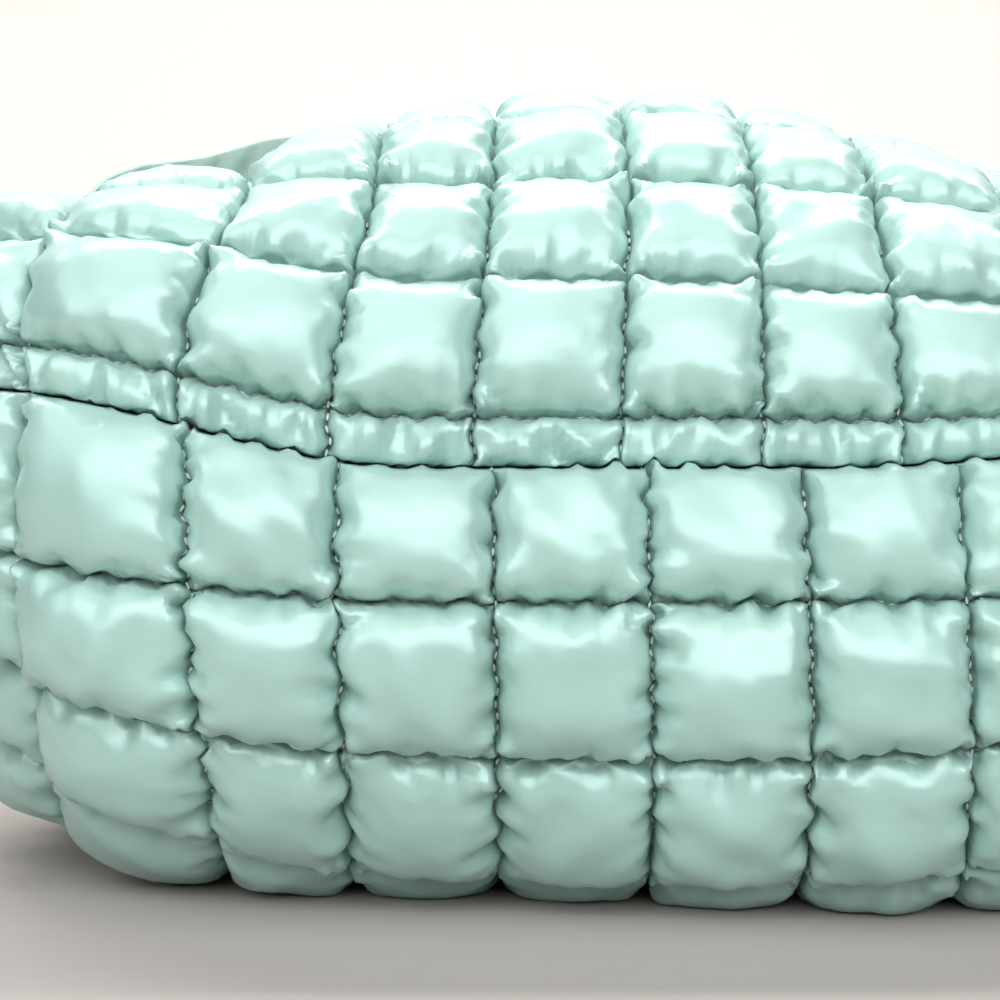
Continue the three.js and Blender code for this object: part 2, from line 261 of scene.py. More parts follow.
class Workshop:
    """Steps of modelling that several pieces share."""

    @staticmethod
    def select_only(obj: bpy.types.Object) -> None:
        """Selects one object and makes it active."""
        bpy.ops.object.select_all(action="DESELECT")
        obj.select_set(True)
        bpy.context.view_layer.objects.active = obj

    @staticmethod
    def grid(name: str, points: np.ndarray, flip: bool) -> bpy.types.Object:
        """Adds a grid primitive and lays it along a table of points.

        Args:
            name: Name of the object.
            points: Points in metres, by column, row and axis.
            flip: True if the faces are to point the other way.

        Returns:
            The new object, whose vertices run along the rows first.
        """
        columns, rows = points.shape[:2]
        bpy.ops.object.select_all(action="DESELECT")
        bpy.ops.mesh.primitive_grid_add(x_subdivisions=columns - 1, y_subdivisions=rows - 1, size=1.0)
        obj = bpy.context.object
        obj.name = name
        obj.data.name = name
        Workshop.set_points(obj, points.transpose(1, 0, 2).reshape(-1, 3))
        if flip:
            bpy.ops.object.mode_set(mode="EDIT")
            bpy.ops.mesh.select_all(action="SELECT")
            bpy.ops.mesh.flip_normals()
            bpy.ops.object.mode_set(mode="OBJECT")
        return obj

    @staticmethod
    def points(obj: bpy.types.Object) -> np.ndarray:
        """Vertex places of a mesh object."""
        flat = np.empty(len(obj.data.vertices) * 3)
        obj.data.vertices.foreach_get("co", flat)
        return flat.reshape(-1, 3)

    @staticmethod
    def set_points(obj: bpy.types.Object, points: np.ndarray) -> None:
        """Moves every vertex of a mesh object."""
        obj.data.vertices.foreach_set("co", np.ascontiguousarray(points).ravel())
        obj.data.update()

    @staticmethod
    def set_uv(obj: bpy.types.Object, coordinates: np.ndarray) -> None:
        """Gives every vertex of a mesh object its own place in the UV map."""
        layer = obj.data.uv_layers.active or obj.data.uv_layers.new(name="UVMap")
        corners = np.empty(len(obj.data.loops), dtype=np.int32)
        obj.data.loops.foreach_get("vertex_index", corners)
        layer.data.foreach_set("uv", coordinates[corners].ravel())

    @staticmethod
    def weights(obj: bpy.types.Object, name: str, values: np.ndarray) -> None:
        """Adds a vertex group with one weight for each vertex."""
        group = obj.vertex_groups.new(name=name)
        for index in np.nonzero(values > 0.0)[0]:
            group.add([int(index)], float(values[index]), "REPLACE")

    @staticmethod
    def select_rims() -> None:
        """Selects the open edges of the mesh that is being edited."""
        bpy.ops.mesh.select_mode(type="EDGE")
        bpy.ops.mesh.select_all(action="DESELECT")
        bpy.ops.mesh.select_non_manifold(
            extend=False, use_wire=False, use_multi_face=False, use_non_contiguous=False, use_verts=False
        )

    @staticmethod
    def close(outer: bpy.types.Object, inner: bpy.types.Object) -> None:
        """Joins an inner skin to an outer one and bridges their rims into a closed wall."""
        Workshop.select_only(outer)
        inner.select_set(True)
        bpy.ops.object.join()
        bpy.ops.object.mode_set(mode="EDIT")
        Workshop.select_rims()
        bpy.ops.mesh.bridge_edge_loops()
        bpy.ops.object.mode_set(mode="OBJECT")

    @staticmethod
    def tube(name: str, rings: np.ndarray) -> bpy.types.Object:
        """Rolls a grid primitive into a closed bar through matching rings of points.

        Args:
            name: Name of the object.
            rings: Points in metres, by station, place on the ring and axis.

        Returns:
            The closed bar.
        """
        rolled = np.concatenate([rings, rings[:, :1]], axis=1)
        obj = Workshop.grid(name, rolled, flip=False)
        bpy.ops.object.mode_set(mode="EDIT")
        bpy.ops.mesh.select_all(action="SELECT")
        bpy.ops.mesh.remove_doubles(threshold=1e-7)
        Workshop.select_rims()
        bpy.ops.mesh.fill()
        bpy.ops.mesh.select_all(action="SELECT")
        bpy.ops.mesh.normals_make_consistent(inside=False)
        bpy.ops.object.mode_set(mode="OBJECT")
        return obj

    @staticmethod
    def hand_over(
        obj: bpy.types.Object, material: bpy.types.Material, slot: Slot, nodes: Iterable[str] = ()
    ) -> None:
        """Covers a piece, fixes it to the bag and hides the nodes of the model that it stands for."""
        obj.data.materials.clear()
        obj.data.materials.append(material)
        Workshop.select_only(obj)
        bpy.ops.object.shade_smooth()
        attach(obj, BODY)
        names = tuple(nodes)
        if names:
            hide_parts(*names)
        log.info("%s: %d faces", obj.name, len(obj.data.polygons))


@dataclass(frozen=True)
class PufferCloth:
    """Thin nylon that its filling blows up between the stitch lines.

    The cloth is simulated at ten times its size, where the solver is steady.
    """

    scale: float = 10.0
    frames: int = 20
    quality: int = 5
    mass: float = 0.3
    stretch: float = 15.0
    shear: float = 7.5
    bending: float = 0.5
    damping: float = 5.0
    bending_damping: float = 0.5
    pressure: float = 6.0
    spare_middle: float = 0.06
    spare_seam: float = 0.7
    seam_reach: float = 6.0
    start_share: float = 0.95
    start_power: float = 0.36
    gather_height: float = 1.8
    gather_start: float = 2.0
    fold_height: float = 3.0
    shortest_gather: float = 7.0
    longest_gather: float = 16.0
    roughening: float = 0.15

    def gathers(self, along: np.ndarray, inwards: np.ndarray, key: Sequence[int]) -> np.ndarray:
        """Start height of the gathers beside one stitched edge.

        Args:
            along: Distance along the edge, in millimetres.
            inwards: Distance from the edge, in millimetres.
            key: Numbers that seed this edge's own gathers.

        Returns:
            Heights in millimetres.
        """
        strength = np.random.default_rng(key).uniform(0.6, 1.3)
        fade = np.exp(-inwards / self.seam_reach) * np.minimum(1.0, inwards / self.gather_start)
        waves = ripple(along, (*key, 5), self.shortest_gather, self.longest_gather)
        return self.gather_height * strength * waves * fade

    def folds(self, along: np.ndarray, upward: np.ndarray, key: Sequence[int]) -> np.ndarray:
        """Start height of the folds across a narrow row, by distance along it and share of its height."""
        waves = ripple(along, key, self.shortest_gather, self.longest_gather)
        return self.fold_height * waves * np.sqrt(np.clip(4.0 * upward * (1.0 - upward), 0.0, 1.0))

    def inflate(self, obj: bpy.types.Object, pinned: np.ndarray, seam_distance: np.ndarray) -> None:
        """Lets the cloth fill out, and applies the result.

        Args:
            obj: The cloth, in metres.
            pinned: One for each vertex on a stitch line, and zero elsewhere.
            seam_distance: Distance of each vertex from the nearest stitch line, in millimetres.
        """
        Workshop.set_points(obj, Workshop.points(obj) * self.scale)
        Workshop.weights(obj, "stitched", pinned)
        Workshop.weights(obj, "near_seam", np.exp(-((seam_distance / self.seam_reach) ** 2)))
        modifier = obj.modifiers.new("puffer", "CLOTH")
        modifier.collision_settings.use_collision = False
        settings = modifier.settings
        settings.quality = self.quality
        settings.mass = self.mass
        settings.air_damping = 1.0
        settings.tension_stiffness = self.stretch
        settings.compression_stiffness = self.stretch
        settings.shear_stiffness = self.shear
        settings.bending_stiffness = self.bending
        settings.tension_damping = self.damping
        settings.compression_damping = self.damping
        settings.shear_damping = self.damping
        settings.bending_damping = self.bending_damping
        settings.vertex_group_mass = "stitched"
        settings.pin_stiffness = 1.0
        settings.vertex_group_shrink = "near_seam"
        settings.shrink_min = -self.spare_middle
        settings.shrink_max = -self.spare_seam
        settings.use_pressure = True
        settings.uniform_pressure_force = self.pressure
        settings.effector_weights.gravity = 0.0
        modifier.point_cache.frame_start = 1
        modifier.point_cache.frame_end = self.frames
        scene = bpy.context.scene
        for step in range(1, self.frames + 1):
            scene.frame_set(step)
        Workshop.select_only(obj)
        bpy.ops.object.modifier_apply(modifier=modifier.name)
        scene.frame_set(1)
        obj.vertex_groups.clear()
        Workshop.set_points(obj, Workshop.points(obj) / self.scale)


@dataclass(frozen=True)
class CellLines:
    """Fine grid lines across a run of quilted cells."""

    at: np.ndarray
    cell: np.ndarray
    starts: np.ndarray

    @staticmethod
    def join(parts: Sequence[np.ndarray]) -> "CellLines":
        """Lines of all the cells in turn, with the far line of the last cell."""
        counts = [len(part) for part in parts]
        last = len(parts)
        return CellLines(
            np.append(np.concatenate(parts), last),
            np.append(np.repeat(np.arange(last), counts), last - 1),
            np.concatenate([[0], np.cumsum(counts)]),
        )


@dataclass(frozen=True)
class CellMaps:
    """Values at every fine grid point of a wall, in millimetres."""

    lift: np.ndarray
    creases: np.ndarray
    sides: np.ndarray

    def near_corners(self, reach: float) -> np.ndarray:
        """One at the corners of the cells, fading to zero over a reach."""
        across = np.minimum(self.sides[..., 0], self.sides[..., 1])
        upward = np.minimum(self.sides[..., 2], self.sides[..., 3])
        return np.exp(-(across**2 + upward**2) / reach**2)

    @property
    def nearest(self) -> np.ndarray:
        """Distance from the nearest stitch line."""
        return self.sides.min(axis=-1)


@dataclass(frozen=True)
class Creases:
    """Soft creases that run into a puff from its stitched edges, and short deep pits beside the thread."""

    spacing: float = 11.0
    height: Span = (0.35, 1.0)
    length: Span = (7.0, 19.0)
    width: Span = (1.7, 3.0)
    slant: float = 0.6
    hollow: float = 0.6
    hollow_aside: float = 1.5
    pit_spacing: float = 9.5
    pit_depth: Span = (1.2, 4.2)
    pit_length: Span = (3.0, 7.5)
    pit_width: Span = (1.3, 2.4)
    rim: float = 2.0
    tilt: float = 3.2
    dents: int = 3
    dent_depth: Span = (0.25, 0.6)
    dent_size: Span = (13.0, 26.0)
    fold_spacing: float = 9.0
    fold_height: Span = (3.0, 6.5)
    fold_width: Span = (2.4, 5.0)
    fold_slant: float = 1.2
    fold_middle: float = 7.0

    def uneven(self, across: np.ndarray, upward: np.ndarray, key: Sequence[int]) -> np.ndarray:
        """Heights of a puff's lean and of the wide dents in its top.

        Args:
            across: Distance from the middle of the puff to the side.
            upward: Distance from the middle of the puff upwards.
            key: Numbers that seed this puff.

        Returns:
            Heights in millimetres.
        """
        draw = np.random.default_rng((*key, 12))
        lean = draw.uniform(-1.0, 1.0) * across + draw.uniform(-1.0, 1.0) * upward
        total = self.tilt * lean / FORM.full_cell
        for _ in range(self.dents):
            way = draw.uniform(0.0, math.pi)
            size = draw.uniform(*self.dent_size)
            at = (math.cos(way) * across + math.sin(way) * upward) / size
            total = total + draw.uniform(*self.dent_depth) * np.sin(2.0 * math.pi * (at + draw.uniform()))
        return total

    def folds(self, along: np.ndarray, upward: np.ndarray, key: Sequence[int]) -> np.ndarray:
        """Heights of the slanting folds across a narrow gathered row.

        Args:
            along: Distance along the row.
            upward: Distance from its lower edge.
            key: Numbers that seed this cell's folds.

        Returns:
            Heights in millimetres.
        """
        draw = np.random.default_rng((*key, 15))
        total = np.zeros_like(along)
        run = float(along.max())
        count = max(1, round(run / self.fold_spacing))
        for index in range(count):
            start = run * (index + draw.uniform(0.1, 0.9)) / count
            slant = draw.uniform(-self.fold_slant, self.fold_slant)
            off = (along - start - slant * (upward - self.fold_middle)) / draw.uniform(*self.fold_width)
            sign = 1.0 if index % 2 else -1.0
            total += sign * draw.uniform(*self.fold_height) * np.exp(-(off**2))
        return total

    def beside(self, along: np.ndarray, inwards: np.ndarray, key: Sequence[int]) -> np.ndarray:
        """Heights of the creases and pits that start at one stitched edge.

        Args:
            along: Distance along the edge.
            inwards: Distance from the edge.
            key: Numbers that seed this edge's own creases.

        Returns:
            Heights in millimetres.
        """
        draw = np.random.default_rng((*key, 9))
        total = np.zeros_like(along)
        run = float(along.max())
        count = max(1, round(run / self.spacing))
        for index in range(count):
            start = run * (index + draw.uniform(0.1, 0.9)) / count
            slant = draw.uniform(-self.slant, self.slant)
            length = draw.uniform(*self.length)
            height = draw.uniform(*self.height) * draw.choice((1.0, -1.0))
            off = (along - start - slant * inwards) / draw.uniform(*self.width)
            shape = np.exp(-(off**2)) - self.hollow * np.exp(-((off - self.hollow_aside) ** 2))
            total += height * shape * (1.0 - smoothstep(inwards, 0.3 * length, length))
        count = max(1, round(run / self.pit_spacing))
        for index in range(count):
            start = run * (index + draw.uniform(0.15, 0.85)) / count
            slant = draw.uniform(-self.slant, self.slant)
            off = (along - start - slant * inwards) / draw.uniform(*self.pit_width)
            reach = inwards / draw.uniform(*self.pit_length)
            total -= draw.uniform(*self.pit_depth) * np.exp(-(off**2) - reach**2)
        return total


@dataclass
class QuiltPanel:
    """One padded wall of the bag: a section curve swept along the bag and closed down at both ends."""

    name: str
    node: str
    side: Side
    profile: Sequence[tuple[float, float]]
    rows: Sequence[float]
    columns: Sequence[tuple[float, float]]
    fill: float
    gathered_rows: Sequence[int] = ()
    cloth: PufferCloth = field(default_factory=PufferCloth)
    creases: Creases = field(default_factory=Creases)
    crowding: float = 0.75
    edge_gathers: tuple[float, float, float, float] = (1.0, 1.0, 1.0, 1.0)
    edge_crowding: tuple[float, float, float, float] = (1.0, 1.0, 1.0, 1.0)
    crowding_reach: float = 5.0
    crowding_height: float = 6.0
    crevice: float = 0.2
    plump: dict[tuple[int, int], float] = field(default_factory=dict)
    droop: dict[int, float] = field(default_factory=dict)
    wander_reach: float = 7.0
    wander_height: Span = (1.1, 0.9)
    wander_waves: Span = (5.5, 18.0)
    gathered_wander: float = 1.5
    seam_press: float = 1.5
    seam_free: float = 2.5
    seam_softness: float = 0.3
    floor_softness: float = 1.6
    corner_gain: float = 0.9
    corner_reach: float = 7.0
    steps: int = 28
    fewest_steps: int = 10
    step_cell: float = 43.0
    seam_crowding: float = 0.3
    seed: int = 11

    @cached_property
    def section(self) -> tuple[np.ndarray, np.ndarray]:
        """Distances and points along the middle section, from the bottom seam to the lip."""
        return even_spline(self.profile)

    @cached_property
    def row_ends(self) -> np.ndarray:
        """Shares of the section at the stitch lines between rows."""
        ends = np.concatenate([[0.0], np.cumsum(self.rows)]) / self.section[0][-1]
        return np.append(ends, 1.0)

    @property
    def column_count(self) -> int:
        """Number of quilted columns."""
        return len(self.columns) - 1

    @property
    def row_count(self) -> int:
        """Number of quilted rows."""
        return len(self.row_ends) - 1

    def share(self, row: np.ndarray) -> np.ndarray:
        """Share of the section at a real-numbered row."""
        return np.interp(row, np.arange(self.row_count + 1), self.row_ends)

    def bent_share(self, row: np.ndarray, reach: np.ndarray) -> np.ndarray:
        """The same, with the lower wall's rows drawn towards the bottom seam at the ends of the bag."""
        share = self.share(row)
        if self.side is Side.FRONT:
            return share
        return share - FORM.row_lift * reach**2 * np.sin(np.pi * share**FORM.row_lift_peak) ** 4

    def edge_height(self, x: np.ndarray, share: np.ndarray) -> np.ndarray:
        """Height of the wall's own edge above or below the side seam."""
        spread = FORM.gap / 2.0 + FORM.lip_spread(share)
        return FORM.seam_height + FORM.seam_rise(x) + self.side.value * spread

    def skin(self, column: np.ndarray, row: np.ndarray) -> np.ndarray:
        """Points of the stitched surface before padding.

        Args:
            column: Real-numbered columns.
            row: Real-numbered rows, of the same shape.

        Returns:
            Points in millimetres.
        """
        table = np.asarray(self.columns, dtype=float)
        stops = np.arange(len(table))
        seam_x = np.interp(column, stops, table[:, 0])
        turn_x = np.interp(column, stops, table[:, 1])
        reach = np.minimum(np.abs(seam_x) / FORM.half_seam, 1.0)
        share = self.bent_share(row, reach)
        distance, line = self.section
        middle_y = np.interp(share * distance[-1], distance, line[:, 0])
        middle_z = np.interp(share * distance[-1], distance, line[:, 1])
        closing = np.maximum(1.0 - reach**FORM.end_power, 0.0) ** FORM.end_roundness
        rise = FORM.seam_rise(seam_x)
        if self.side is Side.FRONT:
            climb = np.clip((middle_z - FORM.seam_height) / (FORM.ridge_height - FORM.seam_height), 0.0, 1.0)
            height = middle_z + rise * (1.0 - climb**2) - FORM.front_sag(seam_x, share, climb)
        else:
            fall = np.clip((FORM.seam_height - middle_z) / FORM.seam_height, 0.0, 1.0)
            height = middle_z + rise * np.exp(-share / FORM.seam_fade)
            height = height + FORM.back_lift * reach**FORM.back_lift_power * fall
            middle_y = middle_y - FORM.back_twist * np.tanh(seam_x / FORM.back_twist_reach) * fall**2
        edge = self.edge_height(seam_x, share)
        side_y = FORM.side_start + (FORM.side_end - FORM.side_start) * share
        to_lip = np.clip((share - FORM.turn_at) / (1.0 - FORM.turn_at), 0.0, 1.0)
        narrowing = 1.0 + (FORM.lip_narrowing - 1.0) * to_lip
        bulge = np.sign(seam_x) * FORM.side_bulge * 4.0 * share * (1.0 - share) * reach**FORM.bulge_power
        x = (seam_x + (turn_x - seam_x) * smoothstep(share, 0.0, FORM.turn_at)) * narrowing + bulge
        y = middle_y + (side_y - middle_y) * reach**FORM.side_power
        return np.stack([x, y, edge + (height - edge) * closing], axis=-1)

    def normal(self, column: np.ndarray, row: np.ndarray) -> np.ndarray:
        """Outward directions, kept level along the sewn edges so that both walls meet face to face."""
        along = self.skin(column + PROBE, row) - self.skin(column - PROBE, row)
        above = np.minimum(row + PROBE, self.row_count)
        up = self.skin(column, above) - self.skin(column, np.maximum(row - PROBE, 0.0))
        outward = unit(np.cross(along, up) * self.side.value)
        at_end = (column <= 0.0) | (column >= self.column_count)
        level = np.zeros_like(outward)
        level[..., 0] = np.where(at_end, np.where(column > 1.0, 1.0, -1.0), 0.0)
        level[..., 1] = np.where(row <= 0.0, -1.0, 0.0)
        on_edge = (at_end | (row <= 0.0))[..., None]
        return np.where(on_edge, unit(level), outward)

    def crowded(self, count: int) -> np.ndarray:
        """Shares across one cell, closer together at the stitch lines."""
        even = np.arange(count) / count
        return even - self.seam_crowding * np.sin(2.0 * np.pi * even) / (2.0 * np.pi)

    def step_count(self, length: float) -> int:
        """Even number of steps across a cell of that length."""
        steps = round(self.steps * length / self.step_cell)
        return 2 * (min(max(steps, self.fewest_steps), self.steps) // 2)

    def column_lines(self) -> CellLines:
        """Fine grid lines across the columns, spaced by the cloth's own length."""
        fan = 0.5 - 0.5 * np.cos(np.pi * np.linspace(0.0, 1.0, 801))
        shares = (0.2, 0.4, 0.6, 0.8)
        parts = []
        for index in range(self.column_count):
            lengths = np.zeros_like(fan)
            for share in shares:
                row = np.full_like(fan, np.interp(share, self.row_ends, np.arange(self.row_count + 1)))
                lengths += run_lengths(self.skin(index + fan, row)) / len(shares)
            spaced = self.crowded(self.step_count(lengths[-1])) * lengths[-1]
            parts.append(index + np.interp(spaced, lengths, fan))
        return CellLines.join(parts)

    def row_lines(self) -> CellLines:
        """Fine grid lines across the rows."""
        heights = np.diff(self.row_ends) * self.section[0][-1]
        return CellLines.join([i + self.crowded(self.step_count(height)) for i, height in enumerate(heights)])

    def cell_maps(self, skin: np.ndarray, columns: CellLines, rows: CellLines) -> CellMaps:
        """Height of the padding before the cloth fills out, and the creases that it takes.

        Args:
            skin: Stitched surface, by column, row and axis.
            columns: Fine column lines.
            rows: Fine row lines.

        Returns:
            The values at every grid point.
        """
        lift = np.zeros(skin.shape[:2])
        creases = np.zeros(skin.shape[:2])
        sides = np.zeros((*skin.shape[:2], 4))
        draw = np.random.default_rng(self.seed)
        along = run_lengths(skin)
        up = run_lengths(skin.transpose(1, 0, 2)).T
        cloth = self.cloth
        full = FORM.puff * cloth.start_share
        for i in range(self.column_count):
            for j in range(self.row_count):
                column_block = slice(columns.starts[i], columns.starts[i + 1] + 1)
                block = (column_block, slice(rows.starts[j], rows.starts[j + 1] + 1))
                left = along[block] - along[block][:1]
                low = up[block] - up[block][:, :1]
                width = np.maximum(left[-1:], 1e-3)
                height = np.maximum(low[:, -1:], 1e-3)
                across = left / width
                upward = low / height
                fullness = np.minimum(1.0, np.minimum(width, height) / FORM.full_cell) ** FORM.narrow_fullness
                rounded = np.clip(16.0 * across * (1.0 - across) * upward * (1.0 - upward), 0.0, 1.0)
                edges = ((low, left), (low, width - left), (left, low), (left, height - low))
                gathers = np.zeros_like(left)
                for number, (run, inwards) in enumerate(edges):
                    key = (self.seed, i, j, number)
                    strength = self.edge_gathers[number]
                    gathers += strength * cloth.gathers(run, inwards, key)
                    creases[block] += strength * self.creases.beside(run, inwards, key)
                key = (self.seed, i, j, 4)
                uneven = self.creases.uneven(left - width / 2.0, low - height / 2.0, key)
                if j in self.gathered_rows:
                    gathers = cloth.folds(left, upward, key)
                    uneven = self.creases.folds(left, low, key)
                uneven = uneven + self.plump.get((i, j), 0.0) + self.droop.get(j, 0.0) * (2.0 * upward - 1.0)
                creases[block] += uneven * np.sqrt(rounded)
                nearest = np.minimum(np.minimum(left, width - left), np.minimum(low, height - low))
                rough = draw.normal(0.0, cloth.roughening, left.shape)
                padded = full * fullness * rounded**cloth.start_power + fullness * (gathers + rough)
                lift[block] = np.where(nearest > 1e-6, padded, 0.0)
                creases[block] *= fullness * smoothstep(nearest, 0.0, self.creases.rim)
                sides[block] = np.stack([left, width - left, low, height - low], axis=-1)
        return CellMaps(lift, creases, sides)

    def wander(self, axis: int, index: int, run: np.ndarray) -> np.ndarray:
        """How far a stitch line strays sideways, drawn by its gathers.

        Args:
            axis: 0 for a line between columns and 1 for a line between rows.
            index: Number of the line.
            run: Distance along the line, in millimetres.

        Returns:
            Distances in millimetres, which are zero for the edges of the wall.
        """
        if axis == 0:
            ends = np.asarray(self.columns, dtype=float)[:, 1]
        else:
            ends = self.row_ends * self.section[0][-1]
        if index <= 0 or index >= len(ends) - 1:
            return np.zeros_like(run)
        key = (self.seed, axis, index, 6)
        if axis == 1 and index - 1 in self.gathered_rows:
            waves = ripple(run, key, self.cloth.shortest_gather, self.cloth.longest_gather)
            return self.gathered_wander * waves
        room = min(ends[index] - ends[index - 1], ends[index + 1] - ends[index])
        height = self.wander_height[axis] * math.sqrt(min(1.0, room / FORM.full_cell))
        return height * ripple(run, key, *self.wander_waves)

    def stray(
        self, points: np.ndarray, skin: np.ndarray, sides: np.ndarray, cells: Sequence[np.ndarray]
    ) -> np.ndarray:
        """Lets the stitch lines stray sideways, with the cloth beside them.

        Args:
            points: The filled cloth, by column, row and axis.
            skin: The stitched surface.
            sides: Distances from the four edges of each point's own cell.
            cells: Number of the cell of each fine column line and of each fine row line.

        Returns:
            The points after straying.
        """
        strayed = points.copy()
        runs = (run_lengths(skin.transpose(1, 0, 2)).T, run_lengths(skin))
        for axis in (0, 1):
            onward = unit(np.gradient(skin, axis=axis))
            shift = np.zeros(skin.shape[:2])
            for cell in np.unique(cells[axis]):
                here = np.s_[cells[axis] == cell] if axis == 0 else np.s_[:, cells[axis] == cell]
                for side in (0, 1):
                    fade = np.exp(-((sides[here][..., 2 * axis + side] / self.wander_reach) ** 2))
                    shift[here] += fade * self.wander(axis, int(cell) + side, runs[axis][here])
            strayed += onward * shift[..., None]
        return strayed

    def crowd(
        self, points: np.ndarray, skin: np.ndarray, normal: np.ndarray, sides: np.ndarray
    ) -> np.ndarray:
        """Presses neighbouring puffs against each other, so that the stitch lines lie in narrow crevices.

        Args:
            points: The filled cloth, by column, row and axis.
            skin: The stitched surface.
            normal: Outward directions of the stitched surface.
            sides: Distances from the four edges of each point's own cell.

        Returns:
            The points after crowding.
        """
        offset = points - skin
        risen = smoothstep(np.sum(offset * normal, axis=-1), 0.0, self.crowding_height)
        crowded = points.copy()
        for axis in (0, 1):
            onward = unit(np.gradient(skin, axis=axis))
            moved = np.sum(offset * onward, axis=-1)
            for edge, sign in ((2 * axis, 1.0), (2 * axis + 1, -1.0)):
                distance = sides[..., edge] + sign * moved
                strength = self.crowding * self.edge_crowding[edge]
                share = strength * np.exp(-np.maximum(distance, 0.0) / self.crowding_reach) * risen
                target = np.maximum(distance * (1.0 - share), self.crevice * risen)
                crowded += onward * (sign * (target - distance))[..., None]
        return crowded

    def settle(
        self, points: np.ndarray, skin: np.ndarray, normal: np.ndarray, lip_share: np.ndarray
    ) -> np.ndarray:
        """Keeps the filled cloth outside its wall, on its own side of the seams and above the floor.

        Args:
            points: The filled cloth, in millimetres, by column, row and axis.
            skin: The stitched surface.
            normal: Outward directions of the stitched surface.
            lip_share: Share of the way along the side seams, and zero away from the ends of the bag.

        Returns:
            The points after settling.
        """
        depth = np.minimum(np.sum((points - skin) * normal, axis=-1, keepdims=True), 0.0)
        settled = points - depth * normal
        x, y, z = np.moveaxis(settled, -1, 0)
        outward = np.linalg.norm(settled[..., :2] - skin[..., :2], axis=-1)
        free = np.clip(outward / self.seam_free, 0.0, 1.0)
        limit = self.edge_height(x, lip_share) + FORM.seam_ripple(x) * free
        softness = self.seam_softness * np.clip(outward / (2.0 * self.seam_free), 0.0, 1.0)
        past = (z - limit) * self.side.value
        pressed = past * (1.0 - np.exp(-np.abs(past) / self.seam_press))
        past = past + (pressed - past) * free
        z = limit + self.side.value * 0.5 * (past + np.sqrt(past**2 + softness**2))
        z = 0.5 * (z + np.sqrt(z * z + self.floor_softness**2))
        return np.stack([x, y, z], axis=-1)

    def build(self) -> bpy.types.Object:
        """Models the wall: the outer cloth filled out, the flat inner skin, and the rims between them."""
        columns = self.column_lines()
        rows = self.row_lines()
        column, row = np.meshgrid(columns.at, rows.at, indexing="ij")
        skin = self.skin(column, row)
        normal = self.normal(column, row)
        maps = self.cell_maps(skin, columns, rows)
        back = self.side is Side.BACK
        outer = Workshop.grid(self.name, FORM.metres(skin + normal * maps.lift[..., None]), flip=back)
        pinned = (maps.nearest < 1e-6).astype(float)
        self.cloth.inflate(outer, pinned.T.ravel(), maps.nearest.T.ravel())
        size = (len(rows.at), len(columns.at), 3)
        filled = Workshop.points(outer).reshape(size).transpose(1, 0, 2) / MM - np.asarray(FORM.origin)
        corners = self.corner_gain * maps.near_corners(self.corner_reach)
        risen = np.sum((filled - skin) * normal, axis=-1) * corners + maps.creases
        filled = self.crowd(filled + normal * risen[..., None], skin, normal, maps.sides)
        filled = self.stray(filled, skin, maps.sides, (columns.cell, rows.cell))
        middle = (column >= 1.0) & (column < self.column_count - 1)
        filled = self.settle(filled, skin, normal, np.where(middle, 0.0, self.share(row)))
        Workshop.set_points(outer, FORM.metres(filled).transpose(1, 0, 2).reshape(-1, 3))
        every_other = np.s_[::2, ::2]
        lining = (skin - normal * FORM.wall)[every_other]
        inner = Workshop.grid(f"{self.name}_inner", FORM.metres(lining), flip=not back)
        Workshop.close(outer, inner)
        cells = np.stack([column, row], axis=-1)
        uv = [part.transpose(1, 0, 2).reshape(-1, 2) for part in (cells, cells[every_other])]
        Workshop.set_uv(outer, np.concatenate(uv))
        return outer

    def dress(self, obj: bpy.types.Object, material: bpy.types.Material) -> None:
        Workshop.hand_over(obj, material, Slot.QUILT, [self.node])


def front_panel() -> QuiltPanel:
    """The upper wall, with the gathered strip along the bottom seam."""
    return QuiltPanel(
        name="front_quilt",
        node="front_panel",
        side=Side.FRONT,
        profile=(
            (-106, 134), (-103, 152), (-93, 178), (-73, 201), (-33, 230), (14, 238),
            (66, 220), (92, 178),
        ),
        rows=(14.5, 40.5, 41, 43, 44, 44),
        columns=(
            (-198, -198), (-172, -151), (-129, -110), (-86, -74), (-44, -38), (-1, 3),
            (40, 41), (80, 77), (121, 116), (162, 156), (198, 198),
        ),
        fill=0.8,
        gathered_rows=(0,),
        edge_gathers=(1.1, 1.1, 1.35, 0.2),
        edge_crowding=(1.0, 1.0, 1.0, 0.3),
        wander_height=(0.8, 0.5),
        wander_waves=(7.0, 22.0),
        creases=Creases(
            pit_spacing=12.0,
            tilt=2.5,
            dent_depth=(0.15, 0.4),
            fold_spacing=8.0,
            fold_height=(4.0, 8.0),
            fold_width=(1.8, 3.2),
        ),
        plump={(1, 2): -2.5, (1, 3): 4.0, (2, 3): 2.0},
        seed=11,
    )


def back_panel() -> QuiltPanel:
    """The lower wall, which the bag lies on."""
    return QuiltPanel(
        name="back_quilt",
        node="back_panel",
        side=Side.BACK,
        profile=(
            (-106, 134), (-117, 114), (-122, 82), (-112, 42), (-80, 13), (-20, 9),
            (36, 11), (73, 40), (84, 95),
        ),
        rows=(41, 44, 44, 44, 46, 46, 46),
        columns=(
            (-198, -198), (-195, -190), (-171, -155), (-126, -117), (-83, -80), (-38, -36),
            (6, 9), (51, 54), (95, 99), (137, 139), (174, 170), (195, 192),
            (198, 198),
        ),
        fill=0.8,
        edge_gathers=(1.25, 1.25, 0.9, 0.55),
        edge_crowding=(1.0, 1.0, 0.7, 1.1),
        droop={1: 2.5, 2: 5.5, 3: 1.0},
        seed=23,
    )


